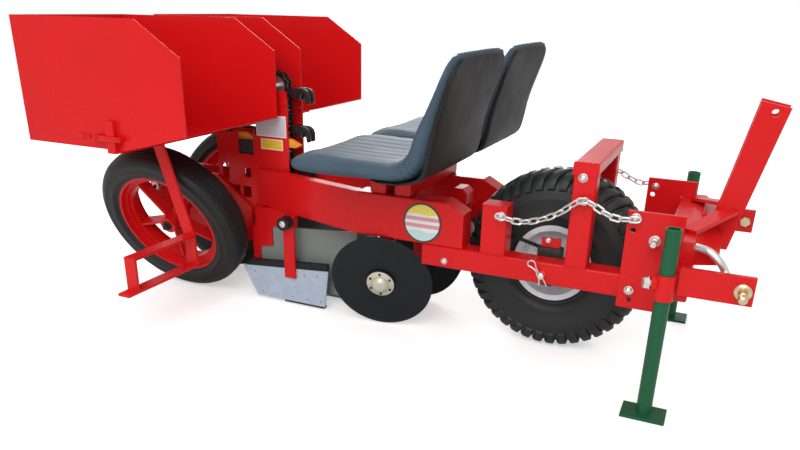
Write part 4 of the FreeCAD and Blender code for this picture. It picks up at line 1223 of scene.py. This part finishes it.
@dataclass
class PackingWheel:
    """Leaning wheel with a smooth ribbed tyre that firms the soil beside the row."""

    shop: Shop
    side: Side
    centre: Point = (-0.7825, 0.187, 0.26407)
    lean: float = 21.5
    toe: float = 1.0
    body_half: Sequence[Pair] = (
        (0.1875, 0.040), (0.1880, 0.0455), (0.1920, 0.0480), (0.1980, 0.0480), (0.2020, 0.0515),
        (0.2050, 0.0550), (0.2090, 0.0562), (0.2105, 0.0572), (0.2130, 0.0572), (0.2145, 0.0566),
        (0.2240, 0.0576), (0.2380, 0.0568), (0.2400, 0.0574), (0.2425, 0.0568), (0.2520, 0.0520),
        (0.2610, 0.0440), (0.2664, 0.0350), (0.2664, 0.0330), (0.2676, 0.0325), (0.2700, 0.0255),
        (0.2680, 0.0245), (0.2680, 0.0215), (0.2706, 0.0205), (0.2714, 0.0110), (0.2692, 0.0100),
        (0.2692, 0.0070), (0.2716, 0.0060), (0.2718, 0.0))
    steps: int = 144
    nut_forms: Sequence[tuple[float, int, Sequence[Pair]]] = (
        (-0.046, 32, ((0.0, 0.017), (0.004, 0.017), (0.005, 0.016))),
        (-0.050, 6, ((0.0, 0.0125), (0.009, 0.0125), (0.010, 0.0115))),
        (-0.059, 16, ((0.0, 0.007), (0.006, 0.007), (0.0075, 0.0055))))

    def build(self) -> None:
        """Makes the tyre and the hub's washer, nut and stud."""
        word, move = self.side.word, self.side.leaning(self.centre, self.lean, self.toe)
        body = f"packing_wheel_{word}"
        bm = bmesh.new()
        lathe(bm, self.body_half, self.steps)
        self.shop.piece(f"packing_wheel_tyre_{word}", bm, "packing_rubber", body,
                        [f"packing_tyre_{word}"], slot="tyre_rubber", move=move)
        bm = bmesh.new()
        for y, sides, profile in self.nut_forms:
            turned(bm, (0.0, y, 0.0), RIGHTWARD, profile, sides)
        self.shop.piece(f"packing_wheel_nut_{word}", bm, "dark_steel", body, slot="disc_black",
                        bevel=0.0006, move=move)


@dataclass
class OpenerDisc:
    """Bolted hub and grease cap of an opener disc, proud of the disc's own hub."""

    shop: Shop
    side: Side
    centre: Point = (0.012, 0.180, 0.163)
    lean: float = 14.6
    toe: float = 11.4
    hub_face: float = -0.0113
    cap: Sequence[Pair] = ((0.0, 0.0440), (0.0026, 0.0440), (0.0034, 0.0430), (0.0040, 0.0300),
                           (0.0050, 0.0284), (0.0084, 0.0284), (0.0105, 0.0270), (0.0150, 0.0232),
                           (0.0202, 0.0182), (0.0214, 0.0158), (0.0223, 0.0100), (0.0227, 0.0040))
    bolt: Sequence[Pair] = ((0.0, 0.0044), (0.0034, 0.0044), (0.0042, 0.0036))
    bolt_circle: float = 0.0355
    bolt_count: int = 6

    def build(self) -> None:
        """Makes the cap and its ring of bolts."""
        word, move = self.side.word, self.side.leaning(self.centre, self.lean, self.toe)
        body = f"opener_disc_{word}"
        bm = bmesh.new()
        turned(bm, (0.0, self.hub_face, 0.0), RIGHTWARD, self.cap, 48)
        self.shop.piece(f"opener_disc_cap_{word}", bm, "hub_cream", body, slot="zinc_plate",
                        move=move)
        bm = bmesh.new()
        turned(bm, (0.0, self.hub_face - 0.002, self.bolt_circle), RIGHTWARD, self.bolt, 6)
        self.shop.piece(f"opener_disc_bolts_{word}", self.shop.repeated(bm, self.bolt_count),
                        "dark_steel", body, slot="disc_black", move=move)


# ---- chains ------------------------------------------------------------------------------------
def loop_path(low: Pair, low_radius: float, top: Pair, top_radius: float, y: float,
              steps: int = 24) -> list[Vector]:
    """Endless line round two wheels in an upright plane.

    Args:
        low: X and Z of the first wheel.
        low_radius: its radius to the line.
        top: X and Z of the second wheel.
        top_radius: its radius to the line.
        y: where the plane is.
        steps: points on each half turn.

    Returns:
        The line's points, up the front and down the back.
    """
    run = Vector((top[0] - low[0], 0.0, top[1] - low[1]))
    heading = math.atan2(run.z, run.x)
    spread = math.acos((low_radius - top_radius) / run.length)
    path = []
    for centre, radius, start, end in (
            (low, low_radius, heading + spread, heading + 2 * math.pi - spread),
            (top, top_radius, heading - spread, heading + spread)):
        for step in range(steps + 1):
            turn = start + (end - start) * step / steps
            path.append(Vector((centre[0] + radius * math.cos(turn), y,
                                centre[1] + radius * math.sin(turn))))
    return path


def roller_link(pitch: float, half_height: float, half_width: float) -> bpy.types.Mesh:
    """Two waisted side plates and a roller.

    Args:
        pitch: from pin to pin.
        half_height: half a plate's height.
        half_width: from the middle to the outer faces.

    Returns:
        The link, long in X.
    """
    bm = bmesh.new()
    reach, thick = pitch / 2, half_width * 0.22
    front, back = two_arcs(reach, half_height, 4)
    waist = half_height * 0.72
    outline = front + [(0.0, waist)] + back + [(0.0, -waist)]
    prism(bm, outline, half_width - thick, half_width)
    prism(bm, outline, -half_width, -half_width + thick)
    turned(bm, (reach, -half_width * 1.15, 0.0), (0.0, 1.0, 0.0),
           [(0.0, half_height * 0.55), (half_width * 2.3, half_height * 0.55)], 8)
    return finished(bm, "roller_link")


@dataclass
class LiftChain:
    """Slack chain from the frame's post over the hoop's leg to the headstock."""

    shop: Shop
    side: Side
    route: Sequence[Point] = (
        (0.391, 0.220, 0.433), (0.446, 0.2223, 0.427), (0.500, 0.2246, 0.440),
        (0.551, 0.2268, 0.466), (0.609, 0.2292, 0.507), (0.667, 0.2317, 0.484),
        (0.701, 0.2331, 0.473), (0.745, 0.2350, 0.476))
    count: int = 17
    link_length: float = 0.0355
    link_width: float = 0.0215
    wire: float = 0.0030

    def build(self) -> None:
        """Threads the links along the route."""
        path = smooth_path([(x, self.side.value * y, z) for x, y, z in self.route], 8)
        chain = self.shop.chain.run(line_mesh(path), {
            "Count": self.count, "Link": self._link(), "Twist": math.pi / 2})
        made = self.shop.made(f"lift_chain_links_{self.side.word}", chain, "zinc_plate")
        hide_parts(f"lift_chain_{self.side.word}")
        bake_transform(made)

    def _link(self) -> bpy.types.Mesh:
        """Makes one oval link, long in X.

        Returns:
            Its mesh.
        """
        front, back = two_arcs((self.link_length - self.link_width) / 2,
                               self.link_width / 2 - self.wire, 8)
        bm = bmesh.new()
        tube(bm, [Vector((x, y, 0.0)) for x, y in front + back], self.wire, 8, closed=True)
        return finished(bm, "link", move=Matrix.Rotation(math.pi / 4, 4, "X"))


@dataclass
class DriveChain:
    """Roller chain from the gauge wheel to the jackshaft."""

    shop: Shop
    wheel: Pair = (0.514, 0.270)
    wheel_radius: float = 0.0505
    shaft: Pair = (0.262, 0.357)
    shaft_radius: float = 0.0270
    y: float = -0.110
    count: int = 60
    pitch: float = 0.0127
    plate: Pair = (0.0042, 0.0058)

    def build(self) -> None:
        """Threads the links round both sprockets."""
        path = loop_path(self.wheel, self.wheel_radius, self.shaft, self.shaft_radius, self.y)
        link = roller_link(self.pitch, *self.plate)
        chain = self.shop.roller_chain.run(line_mesh(path, closed=True), {
            "Count": self.count, "Link": link, "Twist": 0.0})
        self.shop.piece("drive_chain_links", chain, "dark_steel", "frame", ["drive_chain"],
                        slot="disc_black")


@dataclass
class PlantingChain:
    """Endless chain in the column with its hooked rubber plant holders."""

    shop: Shop
    low: Pair = (-0.4595, 0.176)
    top: Pair = (-0.4595, 0.712)
    radius: float = 0.039
    holder_radius: float = 0.043
    holder_count: int = 11
    first_holder: float = 0.22
    holder_steps: int = 120
    pitch: float = 0.0254
    plate: Pair = (0.0068, 0.0140)
    arm: Sequence[Pair] = ((0.0, -0.012), (0.0, 0.012), (0.030, 0.019), (0.050, 0.0195),
                           (0.050, 0.004), (0.020, -0.006))
    finger: Sequence[Pair] = (
        (0.040, 0.003), (0.044, 0.0195), (0.066, 0.0185), (0.078, 0.0110), (0.084, -0.004),
        (0.0845, -0.028), (0.0790, -0.032), (0.0725, -0.028), (0.0700, -0.008), (0.0640, 0.0),
        (0.0540, 0.0), (0.0500, -0.008), (0.0490, -0.020), (0.0400, -0.020), (0.0375, -0.006))

    def build(self) -> None:
        """Threads the links and sets the holders on them."""
        path = loop_path(self.low, self.radius, self.top, self.radius, 0.0)
        length = sum((b - a).length for a, b in zip(path, path[1:] + path[:1]))
        for name, line, count, link, finish, slot in (
                ("planting_chain_links", path, round(length / self.pitch),
                 roller_link(self.pitch, *self.plate), "dark_steel", "disc_black"),
                ("plant_holders", self._holder_line(), self.holder_count, self._holder(),
                 "black_rubber", "")):
            chain = self.shop.roller_chain.run(line_mesh(line, closed=True), {
                "Count": count, "Link": link, "Twist": 0.0})
            self.shop.piece(name, chain, finish, "frame", ["planting_chain"], slot=slot)

    def _holder_line(self) -> list[Vector]:
        """Draws the holders' own loop, which starts where the first one sits.

        Returns:
            Its points.
        """
        total = 2 * (self.top[1] - self.low[1]) + 2 * math.pi * self.holder_radius
        first = total * self.first_holder / self.holder_count
        return [self._station((first + total * step / self.holder_steps) % total)
                for step in range(self.holder_steps)]

    def _station(self, travel: float) -> Vector:
        """Finds a point on the holders' loop: up the front, over the top and down the back.

        Args:
            travel: how far along the loop it is.

        Returns:
            The point.
        """
        radius, straight = self.holder_radius, self.top[1] - self.low[1]
        bend = math.pi * radius
        x, z = self.low
        if travel < straight:
            return Vector((x + radius, 0.0, z + travel))
        if travel < straight + bend:
            turn, z = (travel - straight) / radius, z + straight
        elif travel < 2 * straight + bend:
            return Vector((x - radius, 0.0, z + 2 * straight + bend - travel))
        else:
            turn = math.pi + (travel - 2 * straight - bend) / radius
        return Vector((x + radius * math.cos(turn), 0.0, z + radius * math.sin(turn)))

    def _holder(self) -> bpy.types.Mesh:
        """Makes one holder, whose arm points along -Z and whose two fingers bend back along -X.

        Returns:
            Its mesh.
        """
        bm = bmesh.new()
        for outline, low, high in ((self.arm, -0.018, 0.018), (self.finger, -0.0215, -0.0055),
                                   (self.finger, 0.0055, 0.0215)):
            prism(bm, [(along, -out) for out, along in outline], low, high)
        return finished(bm, "plant_holder", 0.0022)


# ---- fittings ----------------------------------------------------------------------------------
def weld_line(start: Point, end: Point, pitch: float = 0.0045) -> list[Vector]:
    """Draws a weld bead, which wavers a little like a hand-laid one.

    Args:
        start: where it starts.
        end: where it ends.
        pitch: from one of its points to the next.

    Returns:
        Its points.
    """
    first, last = Vector(start), Vector(end)
    count = max(int((last - first).length / pitch), 2)
    waver = Vector((0.0, 0.0, 0.0007))
    return [first.lerp(last, step / count) + waver * math.sin(step * 2.2)
            for step in range(count + 1)]


@dataclass
class FrameFittings:
    """Bolts, clips, plates and small brackets on the frame."""

    shop: Shop
    frame_half: float = 0.205
    column_half: float = 0.050
    skirt_half: float = 0.130
    tray_half: float = 0.5405
    pin: Pair = (0.518, 0.281)
    pin_form: Sequence[Pair] = ((-0.002, 0.0095), (0.018, 0.0095), (0.021, 0.0070), (0.022, 0.0030))
    clip: Sequence[Pair] = (
        (0.536, 0.252), (0.528, 0.268), (0.519, 0.279), (0.510, 0.290), (0.503, 0.302),
        (0.498, 0.316), (0.488, 0.321), (0.479, 0.315), (0.481, 0.305), (0.492, 0.300),
        (0.503, 0.292), (0.508, 0.280), (0.514, 0.268), (0.515, 0.252))
    knob: Point = (-0.352, 0.1718, 0.296)
    knob_form: Sequence[Pair] = ((0.0, 0.0110), (0.0020, 0.0110), (0.0028, 0.0095),
                                 (0.0028, 0.0060), (0.0050, 0.0060), (0.0058, 0.0045))
    # outline in X and Z of a dark strip that stands for the shade in the ledge between the shoe's
    # wall and its skirt
    strip: Sequence[Pair] = ((-0.542, 0.1142), (-0.212, 0.1410), (-0.212, 0.164), (-0.515, 0.139))
    strip_inner: float = 0.112
    plate_y: Pair = (-0.0512, -0.0498)
    badge_y: float = -0.2048
    badge_thick: float = 0.0013
    guides: Sequence[tuple[Pair, Sequence[Pair]]] = (
        ((-0.043, -0.028), ((-0.430, 0.520), (-0.372, 0.520), (-0.352, 0.531), (-0.392, 0.549),
                            (-0.430, 0.544))),
        ((-0.030, -0.012), ((-0.622, 0.530), (-0.560, 0.526), (-0.540, 0.538), (-0.580, 0.554),
                            (-0.622, 0.550))))
    buffer: Block = ((-0.600, -0.534), (-0.044, 0.044), (0.480, 0.530))
    ledges_z: Sequence[float] = (0.508, 0.568, 0.589, 0.640)
    clamps: Sequence[Block] = (
        ((-0.742, -0.640), (0.5345, 0.5405), (0.588, 0.603)),
        ((-0.742, -0.734), (0.5190, 0.5350), (0.588, 0.603)),
        ((-0.648, -0.640), (0.5190, 0.5350), (0.588, 0.603)),
        ((-0.812, -0.768), (0.5190, 0.5240), (0.588, 0.600)))
    bearing: Block = ((0.486, 0.556), (0.119, 0.150), (0.306, 0.342))
    clip_wire: float = 0.0019
    welds: Sequence[tuple[Pair, float, float]] = (
        ((0.575, 0.635), 0.316, 0.0028), ((0.332, 0.406), 0.316, 0.0028),
        ((0.571, 0.639), 0.568, 0.0024))

    def build(self) -> None:
        """Makes each group of fittings."""
        self._fasteners()
        self._axle_clips()
        self._plates()
        self._column_guides()
        self._tray_clamps()
        self._shoe_trim()
        self._beads()

    def _slabs(self, name: str, finish: str, bevel: float,
               blocks: Sequence[Block], slot: str = "") -> None:
        """Makes one piece of blocks that stand on both sides of the middle plane.

        Args:
            name: the piece's name.
            finish: the name of its finish.
            bevel: how far its edges are rounded.
            blocks: for each block its X, its distances from the middle plane and its Z.
            slot: the record's slot, where the finish has another name.
        """
        bm = bmesh.new()
        for side in Side:
            for x, out, z in blocks:
                slab(bm, x, side.span(*out), z)
        self.shop.piece(name, bm, finish, "frame", slot=slot, bevel=bevel)

    def _fasteners(self) -> None:
        """Bolts, nuts and rivets."""
        half, skirt, column = -self.frame_half, -self.skirt_half, -self.column_half
        for name, head, finish, slot, groups in (
                ("frame_bolts", Head.DOME, "zinc_plate", "",
                 ((1.05, (0.389, half, 0.430)), (0.95, (0.600, half, 0.561)),
                  (0.75, (0.227, half, 0.273)))),
                ("frame_nuts", Head.NUT, "zinc_plate", "",
                 ((0.85, (0.609, half, 0.500)), (0.6, (0.513, -0.141, 0.361)))),
                ("skirt_rivets", Head.RIVET, "dark_steel", "disc_black",
                 ((0.5, *((x, skirt, 0.028) for x in (-0.470, -0.410, -0.350, -0.290, -0.240))),
                  (0.5, (-0.500, skirt, 0.096), (-0.300, skirt, 0.110), (-0.250, skirt, 0.116)))),
                ("column_bolts", Head.HEX, "red_paint", "",
                 ((0.55, (-0.410, column, 0.660), (-0.508, column, 0.660),
                   (-0.508, column, 0.470)),))):
            items = [item for size, *places in groups for item in both_sides(size, *places)]
            self.shop.fasteners(name, head, "frame", finish, items, slot)

    def _axle_clips(self) -> None:
        """Round pin end in the rail with its hair-pin clip, on each side."""
        for side in Side:
            clip_y = side.value * (self.frame_half + 0.012)
            bm = bmesh.new()
            turned(bm, (self.pin[0], side.value * self.frame_half, self.pin[1]), side.outward,
                   self.pin_form, 20)
            tube(bm, smooth_path([(x, clip_y, z) for x, z in self.clip], 5), self.clip_wire, 7)
            self.shop.piece(f"axle_clip_{side.word}", bm, "zinc_plate", "frame")

    def _plates(self) -> None:
        """Blank plates on the right of the column and the bare badge on the right beam."""
        for name, finish, (x, _, z), half in (
                ("column_plate_silver", "silver_plate", SILVER_PLACE, SILVER_HALF),
                ("column_plate_yellow", "yellow_plate", YELLOW_PLACE, YELLOW_HALF)):
            bm = bmesh.new()
            slab(bm, (x - half[0], x + half[0]), self.plate_y, (z - half[1], z + half[1]))
            self.shop.piece(name, bm, finish, "frame", bevel=0.0004)
        bm = bmesh.new()
        turned(bm, (BADGE_PLACE[0], self.badge_y, BADGE_PLACE[2]), RIGHTWARD,
               [(0.0, BADGE_RADIUS), (self.badge_thick, BADGE_RADIUS)], 64)
        self.shop.piece("beam_badge", bm, "badge", "frame")

    def _column_guides(self) -> None:
        """Orange lead-in wedges, the rear block and the ledges between the column's plates."""
        bm = bmesh.new()
        for span, outline in self.guides:
            prism(bm, outline, *span)
        self.shop.piece("plant_guides", bm, "guide_orange", "frame", bevel=0.002)
        bm = bmesh.new()
        slab(bm, *self.buffer)
        self.shop.piece("rear_buffer", bm, "dark_steel", "frame", slot="disc_black", bevel=0.003)
        self._slabs("column_ledges", "red_paint", 0.0008,
                    [((-0.412, -0.3975), (0.030, 0.045), (z - 0.002, z + 0.002))
                     for z in self.ledges_z])

    def _tray_clamps(self) -> None:
        """Straps and screws that hold each tray to its post."""
        self._slabs("tray_clamps", "red_paint", 0.0012, self.clamps)
        screws = ((x, -self.tray_half, 0.5955) for x in (-0.730, -0.652))
        self.shop.fasteners("tray_screws", Head.HEX, "frame", "red_paint",
                            both_sides(0.45, *screws) + both_sides(0.4, (-0.790, -0.524, 0.594)))

    def _shoe_trim(self) -> None:
        """Dark strips of painted shade in the ledges along the skirts' top edges, the knobs'
        centres and the axle's bearing blocks.
        """
        shade_strips, centres = bmesh.new(), bmesh.new()
        for side in Side:
            # a dark strip from the wall out to the skirt: painted shade along the skirt's top edge
            prism(shade_strips, self.strip, *side.span(self.strip_inner, self.skirt_half - 0.0005))
            turned(centres, (self.knob[0], side.value * self.knob[1], self.knob[2]), side.outward,
                   self.knob_form)
        self.shop.piece("skirt_strips", shade_strips, "black_rubber", "frame", bevel=0.002)
        self.shop.piece("knob_centres", centres, "zinc_plate", "frame")
        self._slabs("axle_bearings", "dark_steel", 0.003, [self.bearing], "disc_black")

    def _beads(self) -> None:
        """Weld beads where the hoop and the posts stand on the frame."""
        bm = bmesh.new()
        for side in Side:
            y = side.value * self.frame_half
            for (start, end), z, radius in self.welds:
                tube(bm, weld_line((start, y, z), (end, y, z)), radius, 6)
        self.shop.piece("frame_welds", bm, "red_paint", "frame")


@dataclass
class Headstock:
    """Hitch pins, bolts and the bent rod of the headstock."""

    shop: Shop
    plate_half: float = 0.220
    rod_radius: float = 0.0095
    pin: Point = (1.017, 0.3415, 0.368)
    pin_form: Sequence[Pair] = (
        (-0.0145, 0.0125), (0.0, 0.0125), (0.0, 0.0195), (0.002, 0.0200), (0.009, 0.0200),
        (0.011, 0.0175), (0.012, 0.0118), (0.014, 0.0110), (0.043, 0.0110), (0.0442, 0.0092),
        (0.050, 0.0092), (0.0512, 0.0110), (0.060, 0.0110), (0.0665, 0.0092), (0.0695, 0.0050))
    pin_nut: Sequence[Pair] = ((0.0, 0.0150), (0.003, 0.0165), (0.014, 0.0165), (0.0165, 0.0145))
    stand: Point = (0.847, 0.3519, 0.362)
    screw_aim: Pair = (-0.94, 0.34)
    screw_nut: Sequence[Pair] = ((0.0, 0.0165), (0.012, 0.0165), (0.013, 0.0155))
    screw: Sequence[Pair] = ((0.0, 0.0085), (0.010, 0.0085), (0.010, 0.0175), (0.012, 0.0175),
                             (0.012, 0.0145), (0.022, 0.0145), (0.0235, 0.0125))
    rod_route: Sequence[Point] = ((0.902, -0.262, 0.434), (0.903, -0.272, 0.438),
                                  (0.917, -0.285, 0.439), (0.932, -0.294, 0.437),
                                  (0.955, -0.300, 0.420), (0.972, -0.300, 0.397),
                                  (0.980, -0.312, 0.380), (0.982, -0.330, 0.368))

    def build(self) -> None:
        """Makes each group of fittings."""
        half = -self.plate_half
        for side in Side:
            self._hitch_pin(side)
        for name, head, items in (
                ("headstock_bolts", Head.DOME, both_sides(1.05, (0.746, half, 0.477))
                 + both_sides(0.95, (0.755, half - 0.006, 0.284))),
                ("headstock_studs", Head.STUD, both_sides(1.0, (0.800, half, 0.424))),
                ("headstock_inner_nuts", Head.DOME,
                 both_sides(0.8, (0.749, -0.210, 0.471), inward=True))):
            self.shop.fasteners(name, head, "headstock", "zinc_plate", items)
        self._stand_screws()
        bm = bmesh.new()
        tube(bm, smooth_path(self.rod_route, 8), self.rod_radius, 16)
        self.shop.piece("headstock_rod", bm, "zinc_plate", "headstock")

    def _hitch_pin(self, side: Side) -> None:
        """Makes a shouldered pin with a rounded end, a groove and a nut inside.

        Args:
            side: its side.
        """
        bm = bmesh.new()
        shoulder = Vector((self.pin[0], side.value * self.pin[1], self.pin[2]))
        turned(bm, shoulder, side.outward, self.pin_form, 32)
        turned(bm, shoulder - side.outward * 0.0142, -side.outward, self.pin_nut, 6)
        self.shop.piece(f"hitch_pin_{side.word}", bm, "yellow_zinc", "headstock", ["hitch_pins"],
                        slot="zinc_plate")

    def _stand_screws(self) -> None:
        """Set screw with its welded nut on each stand's sleeve."""
        nuts, screws = bmesh.new(), bmesh.new()
        for side in Side:
            aim = Vector((self.screw_aim[0], side.value * self.screw_aim[1], 0.0)).normalized()
            middle = Vector((self.stand[0], side.value * self.stand[1], self.stand[2]))
            turned(nuts, middle + aim * 0.022, aim, self.screw_nut, 6)
            turned(screws, middle + aim * 0.030, aim, self.screw, 6)
        self.shop.piece("stand_nuts", nuts, "red_paint", "headstock")
        self.shop.piece("stand_screws", screws, "zinc_plate", "headstock")


# ---- studio ------------------------------------------------------------------------------------
@dataclass
class Studio:
    """Floor, soft light and the camera."""

    camera_place: Point = (0.9211, -2.0889, 0.9665)
    azimuth: float = 23.84
    elevation: float = 22.36
    roll: float = 1.27
    lens: float = 32.44
    shift_up: float = 0.0954
    floor_reach: float = 60.0
    floor_tone: float = 0.80
    floor_glow: float = 0.45
    sky_light: float = 0.70
    lamp_target: Point = (0.0, 0.0, 0.4)
    softboxes: Sequence[tuple[str, Point, float, float]] = (
        ("key_softbox", (0.6, -3.1, 2.9), 2.6, 92.0),
        ("rear_softbox", (-1.9, 4.0, 1.9), 3.2, 165.0))

    def build(self) -> None:
        """Makes everything that isn't the machine."""
        self._floor()
        self._world()
        for softbox in self.softboxes:
            self._softbox(*softbox)
        self._camera()

    def _floor(self) -> None:
        """A pale floor that shows white to the camera and keeps the shadow."""
        mesh = bpy.data.meshes.new("floor")
        reach = self.floor_reach
        mesh.from_pydata([(-reach, -reach, 0), (reach, -reach, 0), (reach, reach, 0),
                          (-reach, reach, 0)], [], [(0, 1, 2, 3)])
        shader = Shader("pale_floor")
        seen = shader.node("ShaderNodeLightPath", {}, {}, "Is Camera Ray")
        mesh.materials.append(shader.surface({
            "Base Color": (self.floor_tone, self.floor_tone, self.floor_tone, 1.0),
            "Roughness": 1.0, "Specular IOR Level": 0.0,
            "Emission Color": seen * self.floor_glow, "Emission Strength": 1.0}))
        placed("floor", mesh)

    def _world(self) -> None:
        """An even sky, white to the camera."""
        world = bpy.data.worlds.new("studio")
        world.use_nodes = True
        bpy.context.scene.world = world
        tree = NodeTree(world.node_tree)
        seen = tree.node("ShaderNodeLightPath", {}, {}, "Is Camera Ray")
        plain = tree.node("ShaderNodeMath", {"operation": "MAXIMUM"},
                          {0: seen, 1: seen.sibling("Is Transmission Ray")})
        strength = tree.node("ShaderNodeMapRange", {},
                             {"Value": plain, "To Min": self.sky_light, "To Max": 1.0})
        background = tree.tree.nodes["Background"].inputs
        background["Color"].default_value = WHITE
        tree.tree.links.new(strength.link, background["Strength"])

    def _softbox(self, name: str, place: Point, size: float, power: float) -> None:
        """Adds a square lamp that faces the machine.

        Args:
            name: the lamp's name.
            place: where it hangs.
            size: its edge.
            power: watts.
        """
        data = bpy.data.lights.new(name, "AREA")
        data.size = size
        data.energy = power
        lamp = placed(name, data)
        lamp.location = place
        lamp.visible_camera = False
        aim = Vector(self.lamp_target) - Vector(place)
        lamp.rotation_euler = aim.to_track_quat("-Z", "Y").to_euler()

    def _camera(self) -> None:
        """Sets the camera at its place, turned by azimuth, elevation and roll."""
        around, above, roll = (math.radians(a) for a in (self.azimuth, self.elevation, self.roll))
        back = Vector((math.sin(around) * math.cos(above), -math.cos(around) * math.cos(above),
                       math.sin(above)))
        level = Vector((math.cos(around), math.sin(around), 0.0))
        upright = back.cross(level)
        right = level * math.cos(roll) + upright * math.sin(roll)
        up = upright * math.cos(roll) - level * math.sin(roll)
        data = bpy.data.cameras.new("camera")
        data.lens = self.lens
        data.shift_y = self.shift_up
        camera = placed("camera", data)
        turn = Matrix((right, up, back)).transposed().to_4x4()
        camera.matrix_world = Matrix.Translation(self.camera_place) @ turn
        bpy.context.scene.camera = camera


def dress_frame(finishes: dict[str, bpy.types.Material]) -> None:
    """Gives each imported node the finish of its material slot.

    Args:
        finishes: the finished materials by slot.
    """
    for name, node in frame["nodes"].items():
        for place in node.material_slots:
            place.material = finishes[SLOTS[name]]


def main() -> None:
    """Builds the scene in order."""
    logging.basicConfig(level=logging.INFO, format="%(message)s")
    bpy.context.scene.view_settings.view_transform = "Standard"
    Studio().build()
    finishes = {name: finish.build() for name, finish in FINISHES.items()}
    dress_frame(finishes)
    shop = Shop(finishes)
    Seats(shop).build()
    GaugeWheel(shop).build()
    for side in Side:
        for kind in (PackingWheel, OpenerDisc, LiftChain):
            kind(shop, side).build()
    for kind in (DriveChain, PlantingChain, FrameFittings, Headstock):
        kind(shop).build()


if __name__ == "__main__":
    main()
